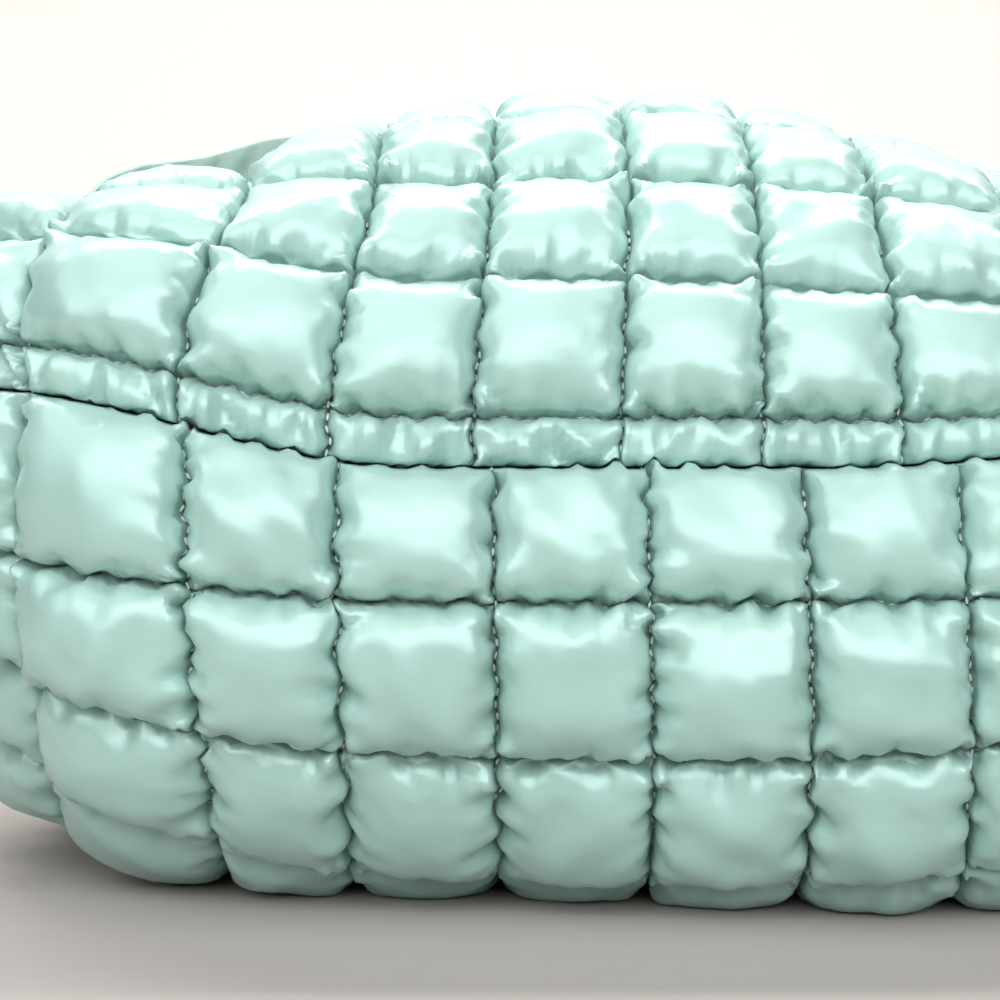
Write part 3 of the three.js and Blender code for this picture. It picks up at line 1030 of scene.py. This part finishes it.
@dataclass
class Stitching:
    """Rows of sewn thread: one small stitch modelled once and copied along its lines."""

    name: str
    slot: Slot
    pitch: float = 3.7
    length: float = 2.5
    thickness: float = 1.0
    lines: list[tuple[np.ndarray, np.ndarray]] = field(default_factory=list)

    def add_line(self, points: np.ndarray, outward: np.ndarray) -> None:
        """Adds a line to sew along, as points in millimetres and the ways that they face."""
        self.lines.append((points, outward))

    def one_stitch(self) -> tuple[np.ndarray, list[tuple[int, ...]]]:
        """Models a single stitch along X.

        Returns:
            Its vertices in millimetres, and its faces.
        """
        bpy.ops.object.select_all(action="DESELECT")
        bpy.ops.mesh.primitive_uv_sphere_add(segments=6, ring_count=4, radius=0.5)
        obj = bpy.context.object
        bpy.ops.object.mode_set(mode="EDIT")
        bpy.ops.mesh.select_all(action="SELECT")
        bpy.ops.transform.rotate(value=math.pi / 2.0, orient_axis="Y", center_override=(0.0, 0.0, 0.0))
        bpy.ops.transform.resize(value=(self.length, self.thickness, self.thickness))
        bpy.ops.object.mode_set(mode="OBJECT")
        points = Workshop.points(obj)
        faces = [tuple(face.vertices) for face in obj.data.polygons]
        bpy.data.objects.remove(obj)
        return points, faces

    @staticmethod
    def along(at: np.ndarray, run: np.ndarray, values: np.ndarray) -> np.ndarray:
        """Vectors at distances along a line that has a vector at each of its own distances."""
        return np.stack([np.interp(at, run, values[:, axis]) for axis in range(3)], axis=-1)

    def places(self) -> tuple[np.ndarray, np.ndarray, np.ndarray]:
        """Middles, directions and outward sides of all the stitches."""
        middles, onward, outward = [], [], []
        for points, facing in self.lines:
            run = run_lengths(points)
            count = int(run[-1] / self.pitch)
            at = (np.arange(count) + 0.5) * run[-1] / count
            start, end = (self.along(at + step, run, points) for step in (-1.0, 1.0))
            middles.append((start + end) / 2.0)
            onward.append(unit(end - start))
            outward.append(unit(self.along(at, run, facing)))
        return np.concatenate(middles), np.concatenate(onward), np.concatenate(outward)

    def build(self) -> bpy.types.Object:
        """Copies the stitch along every line and joins the copies."""
        shape, faces = self.one_stitch()
        middle, onward, outward = self.places()
        across = unit(np.cross(outward, onward))
        upward = np.cross(onward, across)
        turned = (
            shape[None, :, :1] * onward[:, None]
            + shape[None, :, 1:2] * across[:, None]
            + shape[None, :, 2:] * upward[:, None]
        )
        points = FORM.metres(middle[:, None] + turned).reshape(-1, 3)
        every = [
            tuple(corner + start for corner in face)
            for start in range(0, len(points), len(shape))
            for face in faces
        ]
        mesh = bpy.data.meshes.new(self.name)
        mesh.from_pydata(points.tolist(), [], every)
        obj = bpy.data.objects.new(self.name, mesh)
        bpy.context.scene.collection.objects.link(obj)
        return obj

    def dress(self, obj: bpy.types.Object, material: bpy.types.Material) -> None:
        """Gives the thread its finish."""
        Workshop.hand_over(obj, material, self.slot)


def quilting_stitches(panel: QuiltPanel, name: str) -> Stitching:
    """Sews along every stitch line between a wall's cells.

    Args:
        panel: The quilted wall.
        name: Name of the joined stitches.

    Returns:
        The stitching, ready to build.
    """
    sewing = Stitching(name, Slot.QUILT)
    cells = (panel.column_count, panel.row_count)
    between_columns, between_rows = 2.2, 0.05
    for axis, height in ((0, between_columns), (1, between_rows)):
        fine = np.linspace(0.0, cells[1 - axis], 40 * cells[1 - axis] + 1)
        for index in range(1, cells[axis]):
            level = np.full_like(fine, index)
            before, at, after = (
                (level + move, fine) if axis == 0 else (fine, level + move) for move in (-PROBE, 0.0, PROBE)
            )
            line = panel.skin(*at)
            outward = panel.normal(*at)
            aside = unit(panel.skin(*after) - panel.skin(*before))
            line = line + aside * panel.wander(axis, index, run_lengths(line))[:, None]
            sewing.add_line(line + outward * height, outward)
    return sewing


@dataclass
class MouthBinding:
    """Folded nylon that binds one lip of the mouth, gathered a little along its length."""

    name: str
    node: str
    panel: QuiltPanel
    depth: float = 8.0
    thickness: float = 4.6
    seat: float = 0.75
    around: int = 20
    squareness: float = 3.2
    gather: float = 0.35
    gather_waves: Span = (4.0, 11.0)
    stitch_inset: float = 2.2
    seed: int = 41

    def run(self) -> tuple[np.ndarray, np.ndarray, np.ndarray]:
        """Centre line of the binding, with its outward and onward-from-the-lip directions."""
        panel = self.panel
        column = panel.column_lines().at
        top = np.full_like(column, panel.row_count)
        lip = panel.skin(column, top)
        outward = panel.normal(column, top)
        away = lip - panel.skin(column, top - 0.05)
        away = unit(away - np.sum(away * outward, axis=-1, keepdims=True) * outward)
        centre = lip - outward * FORM.wall / 2.0 + away * (self.depth / 2.0 + self.seat)
        return centre, outward, away

    def build(self) -> bpy.types.Object:
        """Models the folded strip as a rounded bar with small gathers."""
        centre, outward, away = self.run()
        angle = np.linspace(0.0, 2.0 * np.pi, self.around, endpoint=False)
        wide = np.sign(np.cos(angle)) * np.abs(np.cos(angle)) ** (2.0 / self.squareness)
        thin = np.sign(np.sin(angle)) * np.abs(np.sin(angle)) ** (2.0 / self.squareness)
        along = run_lengths(centre)[:, None]
        pucker = np.zeros((len(along), self.around))
        for place in range(self.around):
            key = (self.seed, int(thin[place] > 0.0))
            pucker[:, place] = ripple(along[:, 0] + 2.0 * wide[place], key, *self.gather_waves)
        half_depth = self.depth / 2.0
        half_thickness = self.thickness / 2.0 - self.gather + self.gather * pucker
        rings = (
            centre[:, None]
            + away[:, None] * (wide * half_depth)[None, :, None]
            + outward[:, None] * (thin * half_thickness)[..., None]
        )
        return Workshop.tube(self.name, FORM.metres(rings))

    def stitch(self, sewing: Stitching) -> None:
        """Adds the topstitched line on the outer and inner face."""
        centre, outward, away = self.run()
        low = centre - away * (self.depth / 2.0 - self.stitch_inset)
        for face in (1.0, -1.0):
            sewing.add_line(low + outward * face * self.thickness / 2.0, outward * face)

    def dress(self, obj: bpy.types.Object, material: bpy.types.Material) -> None:
        Workshop.hand_over(obj, material, Slot.BINDING, [self.node])


@dataclass
class ShoulderStrap:
    """Flat padded band that stands on edge behind the mouth, sewn in between the lips at both ends."""

    name: str
    node: str
    panel: QuiltPanel
    width: float = 54.0
    thickness: float = 5.0
    root_from: float = 0.67
    root_stations: int = 36
    per_span: int = 28
    around: int = 56
    edge_roundness: float = 5.0
    wrinkle: float = 0.9
    bend_waves: Span = (24.0, 60.0)
    fine_waves: Span = (7.0, 19.0)
    free_widths: Span = (10.0, 26.0)
    bend_slant: float = 9.0
    fine_slant: float = -16.0
    fine_share: float = 0.35
    edge_power: float = 0.4
    ring_power: float = 0.8
    lead_share: float = 0.055
    route: Sequence[tuple[float, float, float, float]] = (
        (-185, 122, 164, 0),
        (-195, 146, 198, 0),
        (-184, 174, 211, 0),
        (-157, 192, 216.5, 0.02),
        (-122, 204, 226, 0.04),
        (-60, 214, 222, 0.08),
        (20, 216, 206, 0.1),
        (100, 208, 190, 0.08),
        (164, 182, 170, 0.04),
        (190, 148, 152, 0),
        (185, 122, 143, 0),
    )
    seed: int = 57

    def root(self, end: float) -> tuple[np.ndarray, np.ndarray]:
        """Sewn end: a tapered tongue in the notch between the two lips.

        Args:
            end: -1 for the left end of the bag and 1 for the right.

        Returns:
            Centres from the side seam to the lip, and widths.
        """
        share = np.linspace(self.root_from, 1.0, self.root_stations)
        panel = self.panel
        row = np.interp(share, panel.row_ends, np.arange(panel.row_count + 1))
        column = np.full_like(row, panel.column_count if end > 0.0 else 0.0)
        edge = panel.skin(column, row)
        middle = FORM.seam_height + FORM.seam_rise(edge[:, 0])
        centre = np.stack([edge[:, 0] - end * FORM.wall / 2.0, edge[:, 1], middle], axis=-1)
        return centre, np.minimum(2.0 * (edge[:, 2] - middle - FORM.gap), self.width)

    @cached_property
    def stations(self) -> tuple[np.ndarray, np.ndarray, np.ndarray]:
        """Centres, widths and leans from one sewn end to the other."""
        left, left_width = self.root(-1.0)
        right, right_width = self.root(1.0)
        table = np.asarray(self.route, dtype=float)
        lead = round(self.root_stations * self.lead_share / (1.0 - self.root_from))
        guide = np.vstack([left[-1 - lead], left[-1], table[:, :3], right[-1], right[-1 - lead]])
        curve = centripetal_spline(guide, self.per_span)[self.per_span + 1:-self.per_span - 1]
        place = np.arange(1, len(curve) + 1) / self.per_span - 1.0
        lean = np.interp(place, np.arange(len(table)), table[:, 3])
        centre = np.vstack([left, curve, right[::-1]])
        width = np.concatenate([left_width, np.full(len(curve), self.width), right_width[::-1]])
        flat = np.zeros(self.root_stations)
        return centre, width, np.concatenate([flat, lean, flat])

    @cached_property
    def frames(self) -> tuple[np.ndarray, np.ndarray]:
        """Directions across the band's width and through its thickness, at each station."""
        centre, _, lean = self.stations
        onward = np.gradient(centre, axis=0)
        wide = unit(np.stack([np.zeros_like(lean), lean, np.ones_like(lean)], axis=-1))
        return wide, unit(np.cross(wide, onward))

    def surface(self, across: np.ndarray, face: np.ndarray) -> np.ndarray:
        """Points on the band.

        Args:
            across: Places across the width from -1 to 1, for each point of a ring.
            face: 1 on the outer face and -1 on the inner one, for each point of a ring.

        Returns:
            Points in millimetres, by station, place on the ring and axis.
        """
        centre, width, _ = self.stations
        wide, thin = self.frames
        along = run_lengths(centre)[:, None]
        half = width[:, None] / 2.0
        body = (1.0 - np.abs(across) ** self.edge_roundness)[None, :] ** self.edge_power
        bend = np.zeros((len(along), len(across)))
        fine = np.zeros_like(bend)
        for place, value in enumerate(across):
            bend[:, place] = ripple(along[:, 0] + self.bend_slant * value, (self.seed, 1), *self.bend_waves)
            fine[:, place] = ripple(along[:, 0] + self.fine_slant * value, (self.seed, 2), *self.fine_waves)
        free = smoothstep(half, *self.free_widths)
        lift = self.thickness / 2.0 * body * face[None, :]
        lift = lift + self.wrinkle * free * (bend + self.fine_share * fine * face[None, :] * body)
        return (
            centre[:, None]
            + wide[:, None] * (half * across[None, :])[..., None]
            + thin[:, None] * lift[..., None]
        )

    def build(self) -> bpy.types.Object:
        """Models the band as a closed bar with soft wrinkles."""
        turn = np.linspace(0.0, 2.0 * np.pi, self.around, endpoint=False)
        across = np.cos(turn)
        across = np.sign(across) * np.abs(across) ** self.ring_power
        face = np.where(np.sin(turn) >= 0.0, 1.0, -1.0)
        return Workshop.tube(self.name, FORM.metres(self.surface(across, face)))

    def dress(self, obj: bpy.types.Object, material: bpy.types.Material) -> None:
        Workshop.hand_over(obj, material, Slot.STRAP, [self.node])


class NodeBoard:
    """Short hand for adding and wiring shader nodes in one tree."""

    def __init__(self, tree: bpy.types.NodeTree) -> None:
        """Starts on an empty tree."""
        self.tree = tree
        tree.nodes.clear()

    @staticmethod
    def new_material(name: str) -> tuple[bpy.types.Material, "NodeBoard"]:
        """A new material, and a board on its empty tree."""
        material = bpy.data.materials.new(name)
        material.use_nodes = True
        return material, NodeBoard(material.node_tree)

    def wire(self, socket: bpy.types.NodeSocket, value: object) -> None:
        """Links an output to an input socket, or sets the socket's own value."""
        if isinstance(value, bpy.types.NodeSocket):
            self.tree.links.new(value, socket)
        else:
            socket.default_value = value

    def add(
        self, kind: str, inputs: dict[str | int, object] | None = None, **settings: object
    ) -> bpy.types.Node:
        """Adds a node, wiring or setting its inputs.

        Args:
            kind: Type of the node.
            inputs: Values, or output sockets to wire, by input name or number.
            settings: Attributes of the node.

        Returns:
            The new node.
        """
        node = self.tree.nodes.new(kind)
        for key, value in settings.items():
            setattr(node, key, value)
        for key, value in (inputs or {}).items():
            self.wire(node.inputs[key], value)
        return node

    def math(self, operation: str, *values: object) -> bpy.types.NodeSocket:
        """Adds a math node on the given values or sockets."""
        node = self.add("ShaderNodeMath", dict(enumerate(values)), operation=operation)
        return node.outputs[0]

    def ramp(self, value: object, low: float, high: float, to: Span) -> bpy.types.NodeSocket:
        """Adds a smooth change from one value to another while the input goes from low to high."""
        node = self.add(
            "ShaderNodeMapRange",
            {"Value": value, "From Min": low, "From Max": high, "To Min": to[0], "To Max": to[1]},
            interpolation_type="SMOOTHSTEP",
        )
        return node.outputs["Result"]

    def bumps(self, height: object, distance: float, strength: float) -> bpy.types.NodeSocket:
        """Adds a bump of that height."""
        inputs = {"Height": height, "Distance": distance, "Strength": strength}
        return self.add("ShaderNodeBump", inputs).outputs["Normal"]

    def surface(self, inputs: dict[str, object]) -> None:
        """Adds the principled shader with those inputs and the material's output."""
        shader = self.add("ShaderNodeBsdfPrincipled", inputs)
        self.add("ShaderNodeOutputMaterial", {"Surface": shader.outputs[0]})

    def mix(self, factor: object, first: object, second: object, blend: str = "MIX") -> bpy.types.NodeSocket:
        """Adds a mix of two colours."""
        node = self.add("ShaderNodeMix", data_type="RGBA", blend_type=blend)
        for number, value in ((0, factor), (6, first), (7, second)):
            self.wire(node.inputs[number], value)
        return node.outputs[2]


class Effects:
    """Shader node groups that several finishes share, each built once."""

    @staticmethod
    def start(
        name: str, inputs: dict[str, str], outputs: Iterable[str]
    ) -> tuple[NodeBoard, bpy.types.NodeTree]:
        """Starts a group with named sockets.

        Args:
            name: Name of the group.
            inputs: Input names, each with its socket type.
            outputs: Names of the outputs, which are all values.

        Returns:
            A board on the group, and the group.
        """
        tree = bpy.data.node_groups.new(name, "ShaderNodeTree")
        for socket, kind in inputs.items():
            tree.interface.new_socket(socket, in_out="INPUT", socket_type=kind)
        for socket in outputs:
            tree.interface.new_socket(socket, in_out="OUTPUT", socket_type="NodeSocketFloat")
        return NodeBoard(tree), tree

    @staticmethod
    def weave() -> bpy.types.NodeTree:
        """Plain weave of fine threads that follows the cloth."""
        board, tree = Effects.start(
            "Nylon weave", {"Cloth": "NodeSocketVector", "Threads": "NodeSocketFloat"}, ["Height"]
        )
        entry = board.add("NodeGroupInput")
        split = board.add("ShaderNodeSeparateXYZ", {0: entry.outputs["Cloth"]})
        waves = []
        for axis in (0, 1):
            turns = board.math("MULTIPLY", split.outputs[axis], entry.outputs["Threads"])
            waves.append(board.math("SINE", board.math("MULTIPLY", turns, math.pi)))
        height = board.math("MULTIPLY", waves[0], waves[1])
        board.add("NodeGroupOutput", {"Height": height})
        return tree

    @staticmethod
    def crinkle() -> bpy.types.NodeTree:
        """Small soft creases of thin cloth, with a slow drift of tone."""
        board, tree = Effects.start(
            "Nylon crinkle", {"Place": "NodeSocketVector", "Scale": "NodeSocketFloat"}, ["Height", "Tone"]
        )
        entry = board.add("NodeGroupInput")
        creases = board.add(
            "ShaderNodeTexNoise",
            {"Vector": entry.outputs["Place"], "Scale": entry.outputs["Scale"], "Detail": 2.0},
        )
        slow = board.math("MULTIPLY", entry.outputs["Scale"], 0.16)
        tone = board.add(
            "ShaderNodeTexNoise", {"Vector": entry.outputs["Place"], "Scale": slow, "Detail": 2.0}
        )
        board.add("NodeGroupOutput", {"Height": creases.outputs[0], "Tone": tone.outputs[0]})
        return tree

    @staticmethod
    def stitch_line() -> bpy.types.NodeTree:
        """Mask of the cloth beside the stitch lines, which lie at whole numbers of the cloth's map."""
        board, tree = Effects.start(
            "Stitch line", {"Cloth": "NodeSocketVector", "Reach": "NodeSocketFloat"}, ["Mask"]
        )
        entry = board.add("NodeGroupInput")
        split = board.add("ShaderNodeSeparateXYZ", {0: entry.outputs["Cloth"]})
        sides = [board.math("PINGPONG", split.outputs[axis], 0.5) for axis in (0, 1)]
        nearest = board.math("MINIMUM", *sides)
        share = board.math("DIVIDE", nearest, entry.outputs["Reach"])
        mask = board.ramp(share, 0.0, 1.0, (1.0, 0.0))
        board.add("NodeGroupOutput", {"Mask": mask})
        return tree


@dataclass(frozen=True)
class NylonFinish:
    """Satin nylon: its colour, gloss and the fine relief of its cloth, with painted shade darkening the
    colour beside the stitch lines.
    """

    name: str
    colour: Colour
    # Colour of the painted shade mixed in beside the stitch lines, standing in for the dark crevices between
    # the puffs
    seam_shade_colour: Colour
    roughness: float = 0.35
    seam_roughness: float = 0.5
    threads: float = 90.0
    weave_height: float = 0.008
    crinkle_scale: float = 130.0
    crinkle_height: float = 0.14
    relief: float = 0.0006
    seam_reach: float = 0.06
    # How far the colour goes towards the painted shade at the stitch lines
    seam_shade_strength: float = 0.85
    sheen: float = 0.05
    refraction: float = 1.6
    lustre: float = 0.16
    tone_range: Span = (0.05, 0.95)
    tone_drift: Span = (0.93, 1.06)
    gloss_drift: Span = (-0.06, 0.07)

    def material(self, effects: dict[str, bpy.types.NodeTree]) -> bpy.types.Material:
        """Wires the finish.

        Args:
            effects: The shared node groups by name.

        Returns:
            The material.
        """
        material, board = NodeBoard.new_material(self.name)
        cloth = board.add("ShaderNodeUVMap", uv_map="UVMap").outputs["UV"]
        place = board.add("ShaderNodeTexCoord").outputs["Object"]
        placed = (
            ("weave", {"Cloth": cloth, "Threads": self.threads}),
            ("crinkle", {"Place": place, "Scale": self.crinkle_scale}),
            ("stitch_line", {"Cloth": cloth, "Reach": self.seam_reach}),
        )
        weave, crinkle, seam = (
            board.add("ShaderNodeGroup", inputs, node_tree=effects[name]) for name, inputs in placed
        )
        mask = seam.outputs["Mask"]
        # Painted shade: the colour darkens towards the stitch lines, where the crevices between the puffs
        # fall into shadow
        seam_shading = board.math("MULTIPLY", mask, self.seam_shade_strength)
        base = board.mix(seam_shading, (*self.colour, 1.0), (*self.seam_shade_colour, 1.0))
        drift = board.ramp(crinkle.outputs["Tone"], *self.tone_range, self.tone_drift)
        shade = board.add("ShaderNodeCombineColor", {0: drift, 1: drift, 2: drift}).outputs[0]
        colour = board.mix(1.0, base, shade, "MULTIPLY")
        least, most = (self.roughness + change for change in self.gloss_drift)
        gloss = board.ramp(crinkle.outputs["Tone"], *self.tone_range, (least, most))
        seam_gloss = board.math("MULTIPLY", mask, self.seam_roughness - self.roughness)
        creases = board.math("MULTIPLY", crinkle.outputs["Height"], self.crinkle_height)
        threads = board.math("MULTIPLY", weave.outputs["Height"], self.weave_height)
        board.surface(
            {
                "Base Color": colour,
                "Roughness": board.math("ADD", gloss, seam_gloss),
                "Normal": board.bumps(board.math("ADD", creases, threads), self.relief, 1.0),
                "Sheen Weight": self.sheen,
                "IOR": self.refraction,
                "Metallic": self.lustre,
            }
        )
        return material


@dataclass(frozen=True)
class ThreadFinish:
    """Twisted sewing thread a little lighter than the cloth."""

    name: str = "sewing_thread"
    colour: Colour = (0.84, 0.95, 0.92)
    # Colour of the painted shade in the hollows of the twist
    hollow_shade_colour: Colour = (0.64, 0.82, 0.77)
    twist: float = 1800.0
    roughness: float = 0.5
    relief: float = 0.00008
    relief_strength: float = 0.6

    def material(self) -> bpy.types.Material:
        """Wires the finish, with painted shade darkening the hollows between the turns of the thread."""
        material, board = NodeBoard.new_material(self.name)
        place = board.add("ShaderNodeTexCoord").outputs["Object"]
        wave = {"Vector": place, "Scale": self.twist, "Distortion": 1.0}
        turns = board.add("ShaderNodeTexWave", wave, bands_direction="DIAGONAL")
        fuzz = board.add("ShaderNodeTexNoise", {"Vector": place, "Scale": self.twist, "Detail": 2.0})
        # Painted shade: the hollows of the twist are mixed towards the darker colour
        colour = board.mix(turns.outputs[1], (*self.hollow_shade_colour, 1.0), (*self.colour, 1.0))
        gloss = board.ramp(fuzz.outputs[0], 0.3, 0.7, (self.roughness - 0.06, self.roughness + 0.1))
        normal = board.bumps(turns.outputs[1], self.relief, self.relief_strength)
        board.surface({"Base Color": colour, "Roughness": gloss, "Normal": normal})
        return material


@dataclass(frozen=True)
class Studio:
    """Pale floor with a curved backdrop, a large soft light overhead and the camera, in metres."""

    camera_place: Place = (-0.023, -0.831, 0.175)
    camera_aim: Place = (-0.023, -0.115, 0.1245)
    lens: float = 88.92
    sensor: float = 36.0
    floor_half: float = 2.4
    floor_back: float = 1.6
    floor_front: float = 2.6
    backdrop_height: float = 2.2
    cove: float = 0.7
    floor_colour: Colour = (0.44, 0.405, 0.385)
    key_place: Place = (-0.22, -0.66, 1.16)
    key_aim: Place = (0.0, -0.08, 0.13)
    key_size: Span = (2.2, 1.1)
    key_power: float = 11.4
    backdrop_place: Place = (0.0, 0.7, 1.9)
    backdrop_aim: Place = (0.0, 1.6, 0.5)
    backdrop_size: Span = (2.6, 0.5)
    backdrop_power: float = 86.0
    front_place: Place = (-0.1, -1.9, 1.17)
    front_size: Span = (4.2, 1.22)
    front_power: float = 55.0
    world_strength: float = 0.06
    wall_tone: float = 0.9

    @staticmethod
    def aim(obj: bpy.types.Object, place: Place, target: Place) -> None:
        """Puts a camera or light at a place and points it at a target."""
        obj.location = place
        direction = Vector(target) - Vector(place)
        obj.rotation_euler = direction.to_track_quat("-Z", "Y").to_euler()

    def add_camera(self) -> None:
        """Adds the camera in front of the bottom seam."""
        bpy.ops.object.camera_add()
        camera = bpy.context.object
        camera.name = "camera"
        camera.data.lens = self.lens
        camera.data.sensor_width = self.sensor
        camera.data.clip_start = 0.01
        self.aim(camera, self.camera_place, self.camera_aim)
        bpy.context.scene.camera = camera

    def add_light(
        self, name: str, place: Place, target: Place, size: Span, power: float
    ) -> None:
        """Adds one soft rectangular light."""
        bpy.ops.object.light_add(type="AREA")
        light = bpy.context.object
        light.name = name
        light.data.shape = "RECTANGLE"
        light.data.size, light.data.size_y = size
        light.data.energy = power
        self.aim(light, place, target)

    def add_backdrop(self) -> None:
        """Adds the floor and rolls its far edge up into a backdrop."""
        bpy.ops.object.select_all(action="DESELECT")
        bpy.ops.mesh.primitive_plane_add(size=2.0)
        floor = bpy.context.object
        floor.name = "floor"
        bpy.ops.object.mode_set(mode="EDIT")
        bpy.ops.mesh.select_all(action="SELECT")
        length = (self.floor_front + self.floor_back) / 2.0
        bpy.ops.transform.resize(value=(self.floor_half, length, 1.0))
        bpy.ops.transform.translate(value=(0.0, self.floor_back - length, 0.0))
        bpy.ops.object.mode_set(mode="OBJECT")
        mesh = floor.data
        for element in (*mesh.vertices, *mesh.edges, *mesh.polygons):
            element.select = False
        far = self.floor_back - 0.01
        for edge in mesh.edges:
            edge.select = all(mesh.vertices[index].co.y > far for index in edge.vertices)
        bpy.ops.object.mode_set(mode="EDIT")
        bpy.ops.mesh.select_mode(type="EDGE")
        bpy.ops.mesh.extrude_region_move(TRANSFORM_OT_translate={"value": (0.0, 0.0, self.backdrop_height)})
        bpy.ops.object.mode_set(mode="OBJECT")
        for edge in mesh.edges:
            ends = [mesh.vertices[index].co for index in edge.vertices]
            edge.select = all(end.y > far and abs(end.z) < 0.01 for end in ends)
        bpy.ops.object.mode_set(mode="EDIT")
        bpy.ops.mesh.bevel(offset=self.cove, segments=24, affect="EDGES")
        bpy.ops.object.mode_set(mode="OBJECT")
        bpy.ops.object.shade_smooth()
        floor.data.materials.append(self.paper())

    def paper(self) -> bpy.types.Material:
        """Plain pale studio paper."""
        material, board = NodeBoard.new_material("studio_paper")
        place = board.add("ShaderNodeTexCoord").outputs["Object"]
        grain = board.add("ShaderNodeTexNoise", {"Vector": place, "Scale": 60.0, "Detail": 3.0})
        rough = board.ramp(grain.outputs[0], 0.3, 0.7, (0.75, 0.9))
        colour = (*self.floor_colour, 1.0)
        board.surface({"Base Color": colour, "Roughness": rough, "Specular IOR Level": 0.2})
        return material

    def add_surroundings(self) -> None:
        """Sets pale walls with a weak even light, and a plain view transform."""
        scene = bpy.context.scene
        world = bpy.data.worlds.new("studio")
        world.use_nodes = True
        board = NodeBoard(world.node_tree)
        seen = board.add("ShaderNodeLightPath").outputs["Is Camera Ray"]
        strength = board.ramp(seen, 0.0, 1.0, (self.world_strength, self.wall_tone))
        background = board.add("ShaderNodeBackground", {"Color": (1.0, 1.0, 1.0, 1.0), "Strength": strength})
        board.add("ShaderNodeOutputWorld", {"Surface": background.outputs[0]})
        scene.world = world
        scene.view_settings.view_transform = "Standard"

    def build(self) -> None:
        """Sets up the whole studio."""
        self.add_camera()
        self.add_light("key_light", self.key_place, self.key_aim, self.key_size, self.key_power)
        self.add_light("front_light", self.front_place, self.key_aim, self.front_size, self.front_power)
        self.add_light(
            "backdrop_light", self.backdrop_place, self.backdrop_aim, self.backdrop_size, self.backdrop_power
        )
        self.add_backdrop()
        self.add_surroundings()


# The second colour of each finish is painted shade for the crevices along the stitch lines; only the quilt
# mixes it in
QUILT_FINISH = NylonFinish("quilted_nylon", (0.38, 0.59, 0.54), (0.1, 0.2, 0.175))
BINDING_FINISH = NylonFinish(
    "binding_nylon", (0.36, 0.57, 0.52), (0.26, 0.45, 0.41), roughness=0.44, crinkle_height=0.5, seam_shade_strength=0.0
)
# The strap is the bag's own nylon, given a darker colour that paints the shade it stands in behind the bag
SHADED_STRAP_FINISH = NylonFinish(
    "strap_nylon", (0.25, 0.38, 0.33), (0.2, 0.32, 0.28), roughness=0.5, crinkle_height=1.2, seam_shade_strength=0.0
)


def main() -> None:
    """Builds the bag's pieces in order, dresses them and sets up the studio."""
    logging.basicConfig(level=logging.INFO, format="%(name)s: %(message)s")
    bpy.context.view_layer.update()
    Studio().build()
    effects = {"weave": Effects.weave(), "crinkle": Effects.crinkle(), "stitch_line": Effects.stitch_line()}
    quilt_nylon = QUILT_FINISH.material(effects)
    binding_nylon = BINDING_FINISH.material(effects)
    strap_nylon = SHADED_STRAP_FINISH.material(effects)
    thread = ThreadFinish().material()
    front = front_panel()
    back = back_panel()
    for panel, stitches in ((front, "front_stitches"), (back, "back_stitches")):
        panel.dress(panel.build(), quilt_nylon)
        sewing = quilting_stitches(panel, stitches)
        sewing.dress(sewing.build(), thread)
    topstitching = Stitching("mouth_stitches", Slot.BINDING)
    bindings = (
        MouthBinding("front_lip_binding", "front_binding", front),
        MouthBinding("back_lip_binding", "back_binding", back, seed=43),
    )
    for binding in bindings:
        binding.dress(binding.build(), binding_nylon)
        binding.stitch(topstitching)
    topstitching.dress(topstitching.build(), thread)
    strap = ShoulderStrap("shoulder_strap", "strap", front)
    strap.dress(strap.build(), strap_nylon)


if __name__ == "__main__":
    main()
